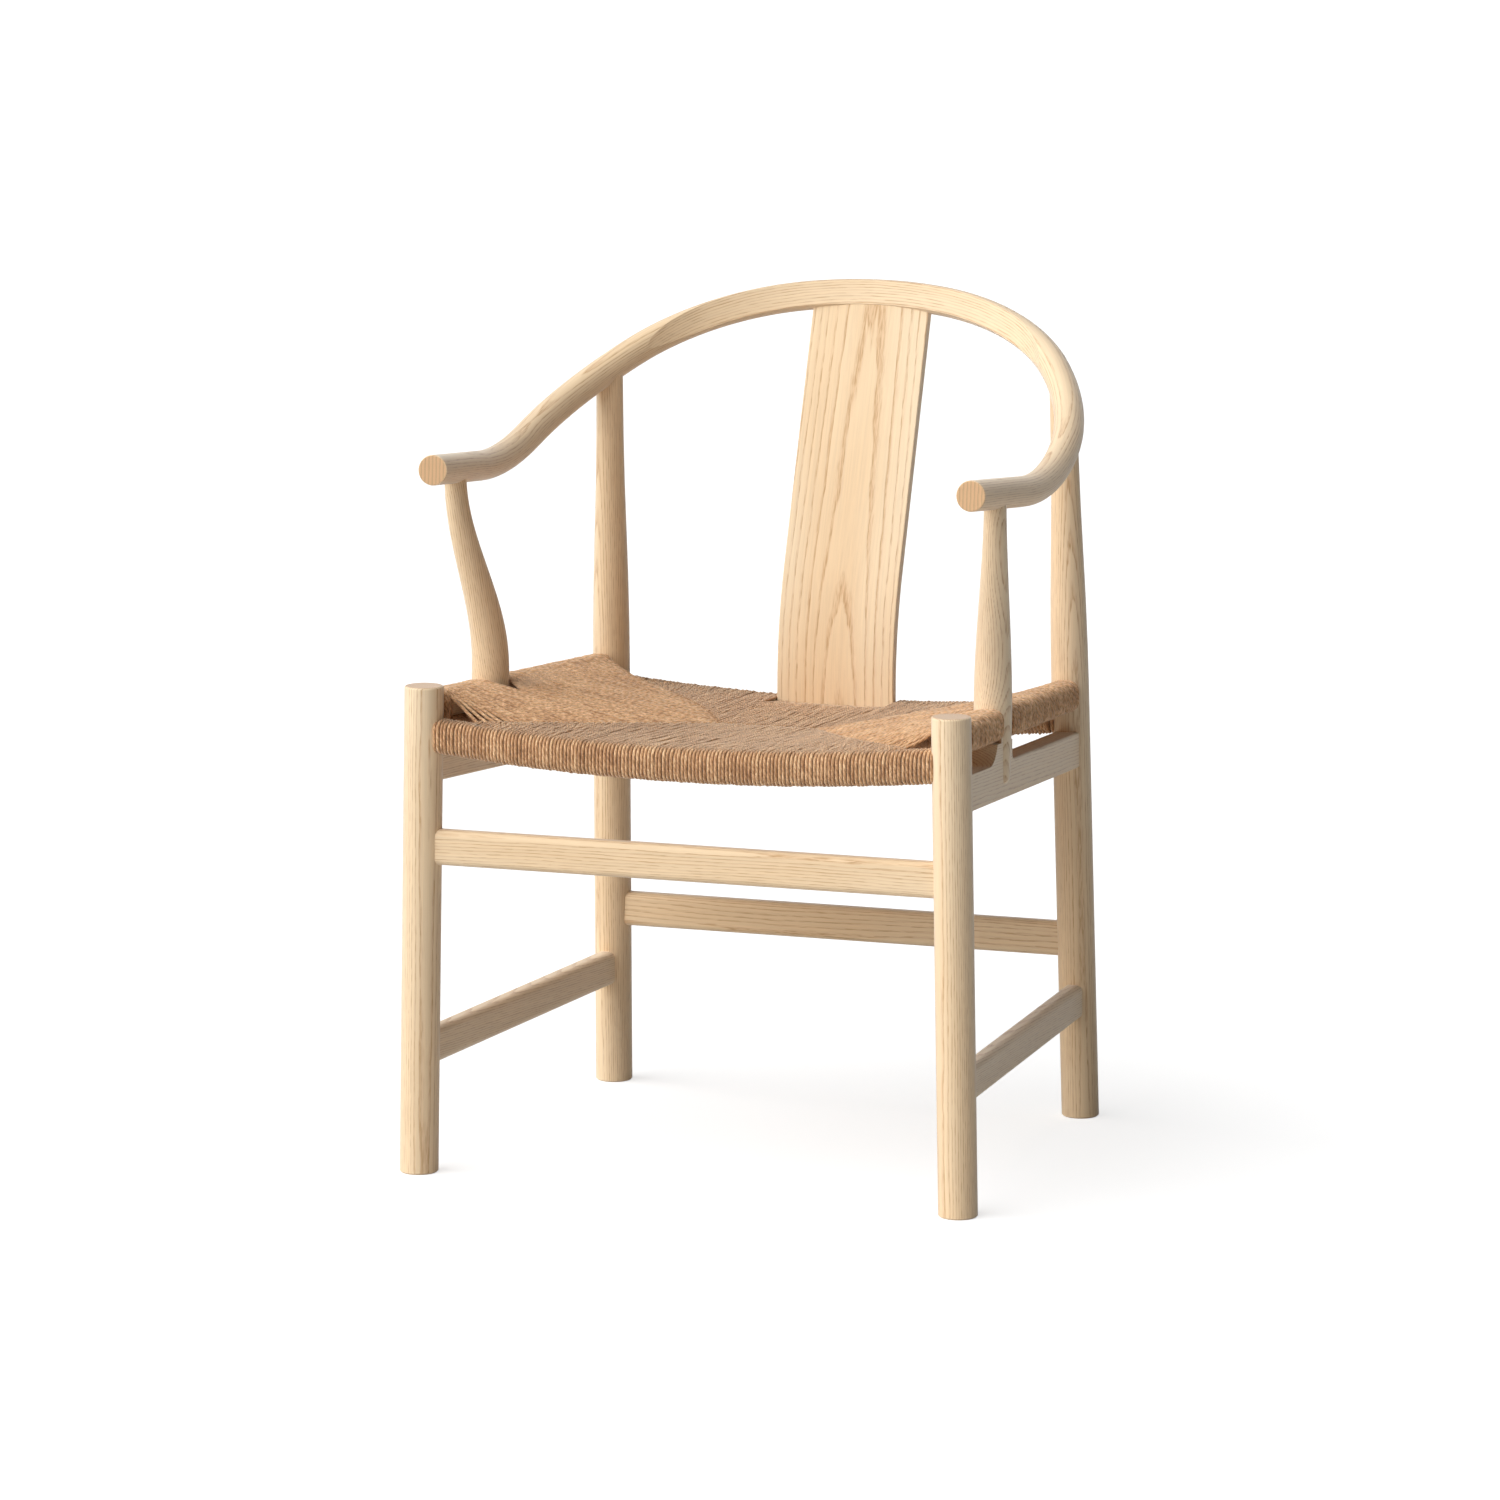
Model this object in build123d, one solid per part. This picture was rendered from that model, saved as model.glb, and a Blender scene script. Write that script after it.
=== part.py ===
from build123d import *
import os
from math import asin, atan2, cos, degrees, radians, sin, tan

# Horseshoe back armchair in ash with a woven paper cord seat.
# Millimetres.  +Z up, the sitter faces -Y, +X is the right hand side seen from the front.
# The origin lies on the floor in the middle of the footprint.

# ---- driving dimensions: overall -------------------------------------------------------
overall_depth = 576.0            # woven front rail to the back of the bow
crest_height = 793.4             # centreline of the bow at its highest point
tenon_clearance = 0.1            # round every tenon in its mortise
mortise_end_gap = 1.0            # glue space behind a tenon
soft_gap = 0.3                   # between cord and wood

# ---- legs and posts --------------------------------------------------------------------
front_leg_diameter = 37.0
front_leg_height = 468.0
front_foot_half_spacing = 270.0
front_leg_splay = 1.1            # degrees from the vertical
front_leg_top_radius = 2.0
foot_bevel = 1.5
rear_post_diameter = 36.7
rear_post_neck_diameter = 26.5
rear_foot_half_spacing = 245.9
rear_foot_inset = 99.8           # rear leg axis in front of the back of the bow, on the floor
rear_taper_start = 425.0
rear_neck_length = 19.9          # from the end of the taper to the bow centreline
rear_post_bow_station = 289.3    # length of bow from its crest to the post
rear_tenon_diameter = 14.0
rear_tenon_depth = 16.0          # into the bow from its underside

# ---- bow: tangent arcs from the crest to the tip, right half ----------------------------
bow_diameter = 29.0
bow_tilt = 29.9                  # fall of the crest plane towards the front, degrees
crest_arc_radius = 333.5
crest_arc_turn = 11.46
shoulder_arc_radius = 234.7
shoulder_arc_turn = 47.14
side_arc_radius = 331.9
side_arc_turn = 29.12
side_arc_roll = -21.35
arm_arc_radius = 281.1
arm_arc_turn = 25.64
arm_arc_roll = -57.59
bow_tip_set_back = 37.05         # tip of the bow behind the front leg axes
bow_tip_radius = 1.2
facet_depth = 8.1                # flat for the splat, from the bow centreline
facet_half_length = 167.0        # along the bow, full width
facet_runout_radius = 130.0
facet_runout_turn = 48.0
facet_reach = 100.0              # how far the cutter goes down along the lean

# ---- splat -----------------------------------------------------------------------------
splat_width = 120.5
splat_thickness = 10.5
splat_edge_radius = 1.2
splat_bend_level = 475.0         # height at which the upright and leaning parts would meet
splat_bend_radius = 350.0
splat_behind_facet = 0.5
splat_tongue_thickness = 6.0
splat_tongue_shoulder = 12.0     # at each side edge of the splat
splat_top_tongue = 6.0
splat_foot_tongue = 12.0
splat_set_forward = 6.8          # splat plane in front of the rear seat rail axis

# ---- arm posts -------------------------------------------------------------------------
arm_post_diameter = 36.0
arm_post_neck_diameter = 21.0
arm_post_station = 146.0         # along the side frame from the front leg axis
arm_post_inset = 1.2             # post axis inside the side frame plane
arm_post_tip_set_back = 64.0     # behind the tip of the bow
arm_upright_height = 23.5        # straight part above the shoulder
arm_bend_end_drop = 11.0         # the sweep ends this far below the bow centreline
arm_taper_rise = 8.5             # full diameter up to here above the shoulder
slope_step = 1.0                 # for reading the slope of the post axis
arm_section_count = 8            # spans of the smooth loft up the post
arm_tenon_diameter = 10.0
arm_tenon_length = 14.0
arm_foot_tenon_diameter = 12.0
arm_foot_tenon_inset = 2.0
arm_foot_tenon_length = 62.0
arm_shoulder_depth = 4.0         # let into the top of the side rail
cheek_offset = 8.0               # inner face of the cheek from the side frame plane
cheek_end_radius = 16.5
cheek_tip_height = 381.0
cheek_tip_round = 7.0

# ---- seat rails ------------------------------------------------------------------------
rail_edge_radius = 6.0
front_rail_height = 25.5
front_rail_depth = 23.0
front_rail_end_level = 422.5
front_rail_sag = 12.5
front_rail_bow = 13.3            # forward swell at the middle
front_rail_set_back = 3.0        # rail ends behind the front leg axes
rear_rail_height = 25.0
rear_rail_depth = 23.0
rear_rail_end_level = 401.0
rear_rail_sag = 12.3
side_rail_height = 23.5
side_rail_depth = 23.0
side_rail_front_level = 446.8
side_rail_rear_level = 423.1
rail_tenon_height = 16.0
rail_tenon_thickness = 12.0
rail_tenon_root = 12.0           # tenon length kept inside a curved rail
tenon_past_axis = 5.0
side_shoulder_gap = 2.4          # square shoulders of the side rails, under the cord

# ---- side aprons -----------------------------------------------------------------------
apron_height = 35.0
apron_thickness = 24.0
apron_front_level = 394.3        # middle of the apron on the front leg axis
apron_rear_level = 369.0
apron_edge_radius = 2.5
apron_tenon_height = 18.0
apron_tenon_thickness = 10.0
boss_reach_front = 31.0          # from the arm post axis
boss_reach_rear = 24.0
boss_sweep_front = 27.0          # length of the hollow sweep in front of the boss
boss_fillet_rear = 8.0
boss_air = 1.2                   # between the boss and the cord above it
boss_land_half_width = 17.5      # middle of the boss that touches the bare rail

# ---- stretchers ------------------------------------------------------------------------
stretcher_height = 34.0
stretcher_thickness = 18.0
stretcher_edge_radius = 6.5
front_stretcher_level = 315.1
rear_stretcher_level = 178.0
side_stretcher_level = 118.4
stretcher_tenon_height = 22.0
stretcher_tenon_thickness = 10.0

# ---- woven seat ------------------------------------------------------------------------
cord_diameter = 3.4
corner_half_width = 212.0        # seam start behind the front rail
rear_seam_half_width = 215.0
front_mid_half_width = 124.0     # kink of the front seam
front_mid_run = 102.5            # behind the front leg axes
rear_mid_half_width = 130.0
rear_mid_run = 84.2              # in front of the rear seat rail axis
ridge_half_length = 50.0
ridge_run = 225.0                # behind the front leg axes
side_panel_front_run = 35.5      # first strand that crosses the seat from the side rail
side_panel_rear_run = 25.0       # last one, in front of the rear seat rail axis
seam_top_front = 435.0
seam_top_front_mid = 425.0
seam_top_ridge = 410.0
seam_top_rear_mid = 417.0
seam_top_rear = 420.0
pad_front = 23.0                 # thickness of the seat along the same seams
pad_front_mid = 23.0
pad_ridge = 19.0
pad_rear_mid = 23.0
pad_rear = 21.0
sheet_step = 0.4                 # the panels leave the rails this far inside the wrapping
front_wrap_half_length = 248.5   # the cord on the front rail laps a little over the legs
cut_margin = 4.0                 # cutting bodies overshoot by this much

# ---- reference points --------------------------------------------------------------------
front_y = -overall_depth / 2
rear_foot_y = overall_depth / 2 - rear_foot_inset
wrap = soft_gap + cord_diameter  # cord surface above the bare wood
front_leg_y = front_y + wrap + front_rail_depth / 2 + front_rail_bow - front_rail_set_back
crest_y = overall_depth / 2 - bow_diameter / 2
crest = Vector(0, crest_y, crest_height)
up = Vector(0, 0, 1)


def arc_point(start, tangent, normal, radius, turn):
    """Point and directions after a turn (degrees) along an arc bending towards normal."""
    angle = radians(turn)
    centre = start + normal * radius
    point = centre - normal * (radius * cos(angle)) + tangent * (radius * sin(angle))
    new_tangent = tangent * cos(angle) + normal * sin(angle)
    new_normal = normal * cos(angle) - tangent * sin(angle)
    return point, new_tangent, new_normal


def bow_arcs():
    """Arcs of the right half of the bow: start, directions, radius and turn of each."""
    point = crest
    tangent = Vector(1, 0, 0)
    normal = Vector(0, -cos(radians(bow_tilt)), -sin(radians(bow_tilt)))
    segments = (
        (crest_arc_radius, crest_arc_turn, 0),
        (shoulder_arc_radius, shoulder_arc_turn, 0),
        (side_arc_radius, side_arc_turn, side_arc_roll),
        (arm_arc_radius, arm_arc_turn, arm_arc_roll),
    )
    arcs = []
    for radius, turn, roll in segments:
        normal = normal.rotate(Axis((0, 0, 0), tangent), roll)
        arcs.append((point, tangent, normal, radius, turn))
        point, tangent, normal = arc_point(point, tangent, normal, radius, turn)
    return arcs, point, tangent


BOW_ARCS, BOW_STRAIGHT_START, BOW_TIP_DIRECTION = bow_arcs()
ARM_STRAIGHT_LENGTH = (front_leg_y + bow_tip_set_back - BOW_STRAIGHT_START.Y) / BOW_TIP_DIRECTION.Y
BOW_TIP = BOW_STRAIGHT_START + BOW_TIP_DIRECTION * ARM_STRAIGHT_LENGTH


def bow_point(station):
    """Centreline point of the bow at a length from the crest, with its direction."""
    left = station
    for start, tangent, normal, radius, turn in BOW_ARCS:
        length = radius * radians(turn)
        if left <= length:
            point, direction, _ = arc_point(start, tangent, normal, radius, degrees(left / radius))
            return point, direction
        left -= length
    return BOW_STRAIGHT_START + BOW_TIP_DIRECTION * left, BOW_TIP_DIRECTION


FRONT_FOOT = Vector(front_foot_half_spacing, front_leg_y, 0)
FRONT_LEG_DIRECTION = Vector(-tan(radians(front_leg_splay)), 0, 1)
REAR_FOOT = Vector(rear_foot_half_spacing, rear_foot_y, 0)
REAR_POST_TOP, _ = bow_point(rear_post_bow_station)


def front_leg_point(level):
    return FRONT_FOOT + FRONT_LEG_DIRECTION * level


def rear_post_point(level):
    return REAR_FOOT + (REAR_POST_TOP - REAR_FOOT) * (level / REAR_POST_TOP.Z)


def mirrored(shape):
    return mirror(shape, about=Plane.YZ)


def solid(shape):
    """The one solid that a boolean result holds."""
    return Part() + shape.solids()


def bar_plane(start, end):
    """Plane at start, looking along the bar, with its x direction level."""
    direction = (end - start).normalized()
    return Plane(origin=start, x_dir=direction.cross(up), z_dir=direction)


def bar(start, end, width, height, radius):
    """Straight bar of rounded rectangular section between two points."""
    section = bar_plane(start, end) * RectangleRounded(width, height, radius)
    return extrude(section, amount=(end - start).length)


def core(start, end, width, height, grow=0.0, overrun=0.0):
    """Tenon bar right through a member, from start to end and past each of them."""
    direction = (end - start).normalized()
    first = start - direction * overrun
    last = end + direction * overrun
    section = bar_plane(first, last) * Rectangle(width + 2 * grow, height + 2 * grow)
    return extrude(section, amount=(last - first).length)


def cylinder_between(start, end, radius):
    direction = (end - start).normalized()
    return extrude(Plane(origin=start, z_dir=direction) * Circle(radius), amount=(end - start).length)


# ---- envelopes of the uprights, used to cope what meets them ----------------------------------
front_leg_round = cylinder_between(
    front_leg_point(-front_leg_diameter),
    front_leg_point(front_leg_height + front_leg_diameter),
    front_leg_diameter / 2,
)
rear_post_round = cylinder_between(
    rear_post_point(-rear_post_diameter),
    rear_post_point(rear_taper_start + rear_post_diameter),
    rear_post_diameter / 2,
)
front_leg_soft = cylinder_between(
    front_leg_point(0), front_leg_point(front_leg_height + front_leg_diameter),
    front_leg_diameter / 2 + soft_gap,
)
rear_post_soft = cylinder_between(
    rear_post_point(0), REAR_POST_TOP, rear_post_diameter / 2 + soft_gap
)


def member(start, end, width, height, radius, tenon_width, tenon_height, rounds):
    """Bar coped to the uprights at both ends, with a tenon bar that runs past their axes."""
    body = bar(start, end, width, height, radius)
    for upright in rounds:
        body = body - upright
    return solid(body + core(start, end, tenon_width, tenon_height, overrun=tenon_past_axis))


def mortise(start, end, tenon_width, tenon_height):
    return core(
        start, end, tenon_width, tenon_height,
        grow=tenon_clearance, overrun=tenon_past_axis + mortise_end_gap,
    )


# ---- side frame: a vertical plane through the leg axes at seat height -------------------------
side_level = (side_rail_front_level + apron_rear_level) / 2
side_front = front_leg_point(side_level)
side_rear = rear_post_point(side_level)
side_run = Vector(side_rear.X - side_front.X, side_rear.Y - side_front.Y, 0)
side_length = side_run.length
side_direction = side_run.normalized()
side_outward = side_direction.cross(up)
side_plane = Plane(
    origin=(side_front.X, side_front.Y, 0), x_dir=side_direction, z_dir=side_outward
)


def side_point(station, level, outward=0.0):
    """Point of the side frame, at a length behind the front leg axis and a height."""
    return side_plane.origin + side_direction * station + up * level + side_outward * outward


def side_rail_level(station):
    return side_rail_front_level + (side_rail_rear_level - side_rail_front_level) * station / side_length


def apron_level(station):
    return apron_front_level + (apron_rear_level - apron_front_level) * station / side_length


# ---- arm post --------------------------------------------------------------------------------
arm_top = BOW_TIP - BOW_TIP_DIRECTION * arm_post_tip_set_back
arm_shoulder_level = side_rail_level(arm_post_station) + side_rail_height / 2 - arm_shoulder_depth
arm_foot = side_point(arm_post_station, arm_shoulder_level, -arm_post_inset)


def smooth_step(value, low, high):
    share = min(max((value - low) / (high - low), 0), 1)
    return share * share * (3 - 2 * share)


def arm_point(level):
    """Axis of the arm post: upright, then swept forward and out to meet the bow."""
    share = smooth_step(level, arm_foot.Z + arm_upright_height, arm_top.Z - arm_bend_end_drop)
    x = arm_foot.X + (arm_top.X - arm_foot.X) * share
    y = arm_foot.Y + (arm_top.Y - arm_foot.Y) * share
    return Vector(x, y, level)


def arm_radius(level):
    share = smooth_step(level, arm_foot.Z + arm_taper_rise, arm_top.Z)
    return (arm_post_diameter + (arm_post_neck_diameter - arm_post_diameter) * share) / 2


def arm_sections():
    """Round sections square to the axis, from the shoulder into the bow."""
    sections = []
    for index in range(arm_section_count + 1):
        share = index / arm_section_count
        level = arm_shoulder_level + (arm_top.Z - arm_shoulder_level) * share
        point = arm_point(level)
        direction = arm_point(level + slope_step) - arm_point(level - slope_step)
        if index == 0:
            direction = up
        sections.append(Plane(origin=point, z_dir=direction) * Circle(arm_radius(level)))
    return sections


def arm_cheek(grow=0.0):
    """Outer part of the post that runs down over the faces of the side rail and the apron."""
    tip = cheek_tip_height - grow
    length = arm_shoulder_level - tip
    lower = Plane(origin=arm_foot - up * length) * Circle(cheek_end_radius + grow)
    upper = Plane(origin=arm_foot) * Circle(arm_post_diameter / 2 + grow)
    cone = loft([lower.face(), upper.face()], ruled=True)
    half = arm_post_diameter
    outline = side_plane.offset(cheek_offset - grow) * (
        Pos(arm_post_station, tip + length / 2) * Rectangle(2 * half, length)
    )
    block = extrude(outline, amount=2 * half)
    cheek = solid(cone & block)
    rim = cheek.edges().filter_by(GeomType.CIRCLE).group_by(Axis.Z)[0]
    return fillet(rim, cheek_tip_round)


def arm_foot_tenon(grow=0.0, end_gap=0.0):
    top = side_point(arm_post_station, arm_shoulder_level, -arm_foot_tenon_inset)
    bottom = top - up * (arm_foot_tenon_length + end_gap)
    return cylinder_between(bottom, top + up * cut_margin, arm_foot_tenon_diameter / 2 + grow)


def arm_head_tenon(grow=0.0, end_gap=0.0):
    tip = arm_top + up * (arm_tenon_length - bow_diameter / 2 + end_gap)
    return cylinder_between(arm_top - up * bow_diameter, tip, arm_tenon_diameter / 2 + grow)


# ---- bow ---------------------------------------------------------------------------------------
def bow_path():
    edges = []
    for start, tangent, normal, radius, turn in BOW_ARCS:
        middle, _, _ = arc_point(start, tangent, normal, radius, turn / 2)
        end, _, _ = arc_point(start, tangent, normal, radius, turn)
        edges.append(Edge.make_three_point_arc(start, middle, end))
    edges.append(Edge.make_line(BOW_STRAIGHT_START, BOW_TIP))
    return Wire(edges)


def bow_round():
    """Round rail without its joints: the right half swept from the crest, and its mirror image."""
    section = Plane(origin=crest, z_dir=(1, 0, 0)) * Circle(bow_diameter / 2)
    half = sweep(section, path=bow_path())
    circles = half.edges().filter_by(GeomType.CIRCLE)
    tip_edges = circles.filter_by(lambda e: (e.arc_center - BOW_TIP).length < bow_tip_radius)
    half = fillet(tip_edges, bow_tip_radius)
    return solid(half + mirrored(half))


rear_rail_end = rear_post_point(rear_rail_end_level)
rear_rail_middle = Vector(0, rear_rail_end.Y, rear_rail_end_level - rear_rail_sag)
splat_foot_y = rear_rail_end.Y - splat_set_forward
# The splat leans so that its middle plane passes just in front of the bow centreline.
splat_offset = facet_depth - splat_behind_facet - splat_thickness / 2
bend_to_crest = Vector(crest_y - splat_foot_y, crest_height - splat_bend_level)
lean = atan2(bend_to_crest.X, bend_to_crest.Y) - asin(splat_offset / bend_to_crest.length)
lean_up = Vector(0, sin(lean), cos(lean))
lean_forward = Vector(0, -cos(lean), sin(lean))
facet_plane = Plane(origin=crest, x_dir=(1, 0, 0), z_dir=lean_up)
splat_head = crest + lean_forward * splat_offset


def facet_point(station):
    """Plan of the facet: the bow centreline seen along the lean, moved in by the facet depth."""
    point, direction = bow_point(station)
    away = point - crest
    x, depth = away.X, away.dot(lean_forward)
    flat = Vector(direction.X, direction.dot(lean_forward)).normalized()
    return Vector(x - flat.Y * facet_depth, depth + flat.X * facet_depth)


def facet_cutter():
    """Prism along the lean of the splat that flattens the inner side of the back."""
    start = facet_point(0)
    middle = facet_point(facet_half_length / 2)
    end = facet_point(facet_half_length)
    first = TangentArc(start, middle, tangent=(1, 0))
    second = TangentArc(middle, end, tangent=first % 1)
    heading = second % 1
    side = Vector(-heading.Y, heading.X)
    out, _, _ = arc_point(end, heading, side, facet_runout_radius, facet_runout_turn)
    third = TangentArc(end, out, tangent=heading)
    rim = [first, second, third, Line(out, (0, out.Y)), Line((0, out.Y), start)]
    # Depth is measured forwards, against the y direction of the plane.
    half = mirror(make_face(Wire([piece.edge() for piece in rim])), about=Plane.XZ)
    outline = facet_plane * (half + mirror(half, about=Plane.YZ))
    body = extrude(outline, amount=bow_diameter)
    return body + extrude(outline, amount=-facet_reach)


# ---- splat -------------------------------------------------------------------------------------
def splat_path(head_reach, foot_level):
    """Middle line of the splat from the side: upright, one bend, then leaning to the bow."""
    corner = Vector(0, splat_foot_y, splat_bend_level)
    tangent_length = splat_bend_radius * tan(lean / 2)
    bend_start = corner - up * tangent_length
    bend_end = corner + lean_up * tangent_length
    head = splat_head + lean_up * head_reach
    return Wire([
        Edge.make_line(Vector(0, splat_foot_y, foot_level), bend_start),
        Edge.make_tangent_arc(bend_start, up, bend_end),
        Edge.make_line(bend_end, head),
    ])


def splat_board(width, thickness, radius, head_reach, foot_level):
    foot = Plane(origin=(0, splat_foot_y, foot_level))
    section = RectangleRounded(width, thickness, radius) if radius else Rectangle(width, thickness)
    return sweep(foot * section, path=splat_path(head_reach, foot_level))


def splat_tongue(grow=0.0, end_gap=0.0):
    return splat_board(
        splat_width - 2 * splat_tongue_shoulder + 2 * grow,
        splat_tongue_thickness + 2 * grow,
        0,
        splat_top_tongue - bow_diameter / 2 + end_gap,
        rear_rail_middle.Z + rear_rail_height / 2 - splat_foot_tongue - end_gap,
    )


# ---- curved seat rails -----------------------------------------------------------------------
front_rail_end = front_leg_point(front_rail_end_level) + Vector(0, front_rail_set_back, 0)
front_rail_middle = Vector(
    0, front_rail_end.Y - front_rail_bow, front_rail_end_level - front_rail_sag
)


def curved_rail(middle, end, depth, height, radius):
    """Rail of one arc through its middle and its right end, level across at the middle."""
    run = end - middle
    rise = Vector(0, run.Y, run.Z)
    arc_radius = run.length**2 / (2 * rise.length)
    centre = middle + rise.normalized() * arc_radius
    axis = Axis(centre, Vector(1, 0, 0).cross(rise))
    half_turn = degrees(asin(run.X / arc_radius))
    section = Plane(origin=middle, x_dir=(0, 1, 0), z_dir=(1, 0, 0)) * RectangleRounded(
        depth, height, radius
    )
    return revolve(section.rotate(axis, -half_turn), axis=axis, revolution_arc=2 * half_turn)


def front_rail_body(grow=0.0):
    return curved_rail(
        front_rail_middle, front_rail_end, front_rail_depth + 2 * grow,
        front_rail_height + 2 * grow, rail_edge_radius + grow,
    )


def rear_rail_body(grow=0.0):
    return curved_rail(
        rear_rail_middle, rear_rail_end, rear_rail_depth + 2 * grow,
        rear_rail_height + 2 * grow, rail_edge_radius + grow,
    )


def end_tenon(end, grow=0.0, end_gap=0.0):
    """Straight tenon block at the right end of a curved rail."""
    length = rail_tenon_root + front_leg_diameter / 2 + tenon_past_axis + end_gap
    last = Vector(end.X + tenon_past_axis + end_gap, end.Y, end.Z)
    start = last - Vector(length, 0, 0)
    return core(start, last, rail_tenon_thickness, rail_tenon_height, grow=grow)


def rail_with_tenons(body, end, shoulder):
    """Curved rail cut off square at its shoulders, with a tenon at each end."""
    reach = 2 * shoulder
    rail = body & (Pos(0, end.Y, end.Z) * Box(reach, reach, reach))
    tenon = end_tenon(end)
    return solid(rail + tenon + mirrored(tenon))


def shoulder_place(upright_point, diameter, level, height):
    """Half length of a rail between its shoulders, where its top edge meets the uprights."""
    return upright_point(level + height / 2).X - diameter / 2


front_shoulder = shoulder_place(
    front_leg_point, front_leg_diameter, front_rail_end_level, front_rail_height)
rear_shoulder = shoulder_place(
    rear_post_point, rear_post_diameter, rear_rail_end_level, rear_rail_height)


# ---- side rails, aprons and stretchers -------------------------------------------------------
side_rail_start = side_point(0, side_rail_front_level)
side_rail_finish = side_point(side_length, side_rail_rear_level)
apron_start = side_point(0, apron_front_level)
apron_finish = side_point(side_length, apron_rear_level)


def side_rail_body(grow=0.0):
    return bar(
        side_rail_start, side_rail_finish, side_rail_depth + 2 * grow,
        side_rail_height + 2 * grow, rail_edge_radius + grow,
    )


def boss_level(station):
    """Top of the apron's boss, clear of the cord under the side rail."""
    return side_rail_level(station) - side_rail_height / 2 - wrap - boss_air


def rail_underside(station):
    slope = atan2(side_rail_front_level - side_rail_rear_level, side_length)
    return side_rail_level(station) - side_rail_height / 2 / cos(slope)


def apron_body():
    """Board on edge with a boss that rises under the side rail and holds the arm post.

    The boss stays clear of the cord under the rail, and its middle rises further, between
    the cords, to the bare wood.
    """
    front = arm_post_station - boss_reach_front
    rear = arm_post_station + boss_reach_rear
    land_front = arm_post_station - boss_land_half_width
    land_rear = arm_post_station + boss_land_half_width
    sweep_start = front - boss_sweep_front
    half = apron_height / 2
    low_front = (0, apron_level(0) - half)
    rear_root = (rear, apron_level(rear) + half)
    front_top = (front, boss_level(front))
    sweep_root = (sweep_start, apron_level(sweep_start) + half)
    upper = Polyline(
        low_front,
        (side_length, apron_level(side_length) - half),
        (side_length, apron_level(side_length) + half),
        rear_root,
        (rear, boss_level(rear)),
        (land_rear, boss_level(land_rear)),
        (land_rear, rail_underside(land_rear)),
        (land_front, rail_underside(land_front)),
        (land_front, boss_level(land_front)),
        front_top,
    )
    slope = (apron_rear_level - apron_front_level) / side_length
    hollow = TangentArc(sweep_root, front_top, tangent=(1, slope))
    front_end = Polyline(sweep_root, (0, apron_level(0) + half), low_front)
    outline = make_face(Wire(upper.edges() + hollow.edges() + front_end.edges()))
    corner = outline.vertices().sort_by_distance((*rear_root, 0))[0]
    outline = fillet(corner, boss_fillet_rear)
    board = extrude(side_plane * outline, amount=apron_thickness / 2, both=True)
    long_edges = board.edges().filter_by(lambda e: e.length > side_length / 2)
    return fillet(long_edges, apron_edge_radius)


def stretcher(start, end, rounds):
    return member(
        start, end, stretcher_thickness, stretcher_height, stretcher_edge_radius,
        stretcher_tenon_thickness, stretcher_tenon_height, rounds,
    )


def stretcher_mortise(start, end):
    return mortise(start, end, stretcher_tenon_thickness, stretcher_tenon_height)


front_stretcher_end = front_leg_point(front_stretcher_level)
rear_stretcher_end = rear_post_point(rear_stretcher_level)
side_stretcher_start = front_leg_point(side_stretcher_level)
side_stretcher_finish = rear_post_point(side_stretcher_level)


def across(point):
    return Vector(-point.X, point.Y, point.Z)


# ---- woven seat ------------------------------------------------------------------------------
def front_rail_share(x):
    return 1 - (x / front_rail_end.X) ** 2


def front_rail_axis(x):
    share = front_rail_share(x)
    return Vector(x, front_rail_end.Y - front_rail_bow * share,
                  front_rail_end_level - front_rail_sag * share)


def rear_rail_axis(x):
    share = 1 - (x / rear_rail_end.X) ** 2
    return Vector(x, rear_rail_end.Y, rear_rail_end_level - rear_rail_sag * share)


def side_rail_axis(y):
    station = (y - side_front.Y) / side_direction.Y
    return side_point(station, side_rail_level(station))


front_seam_y = front_rail_axis(corner_half_width).Y + front_rail_depth / 2 + wrap + 2 * soft_gap
rear_seam_y = rear_rail_end.Y - rear_rail_depth / 2 - wrap - 2 * soft_gap
front_mid_y = front_leg_y + front_mid_run
ridge_y = front_leg_y + ridge_run
rear_mid_y = rear_rail_end.Y - rear_mid_run
# Seams between the panels: plan point, upper surface and thickness, from the front corner
# over the ridge end to the rear corner.
seam = (
    (corner_half_width, front_seam_y, seam_top_front, pad_front),
    (front_mid_half_width, front_mid_y, seam_top_front_mid, pad_front_mid),
    (ridge_half_length, ridge_y, seam_top_ridge, pad_ridge),
    (rear_mid_half_width, rear_mid_y, seam_top_rear_mid, pad_rear_mid),
    (rear_seam_half_width, rear_seam_y, seam_top_rear, pad_rear),
)


def pad_section(rail_plan, rail_top, rail_low, seam_point):
    """Upright four-cornered face from the rail to the seam."""
    x, y, top, thickness = seam_point
    return make_face(Polyline(
        (rail_plan[0], rail_plan[1], rail_top), (x, y, top), (x, y, top - thickness),
        (rail_plan[0], rail_plan[1], rail_low), close=True,
    )).face()


def ruled_pads(sections):
    pad = Part()
    for first, second in zip(sections, sections[1:]):
        pad = pad + loft([first, second], ruled=True)
    return pad


def end_panel_section(axis, depth, height, inward, seam_point):
    """Section of the front or rear panel: inward is +1 for the front one."""
    plan = (axis.X, axis.Y + inward * (depth / 2 - rail_edge_radius))
    half = height / 2 + wrap - sheet_step
    return pad_section(plan, axis.Z + half, axis.Z - half, seam_point)


def both_sides(points):
    """The right hand points mirrored to the left, then the points themselves."""
    left = [(-x, *rest) for x, *rest in points]
    return left + list(reversed(points))


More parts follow.
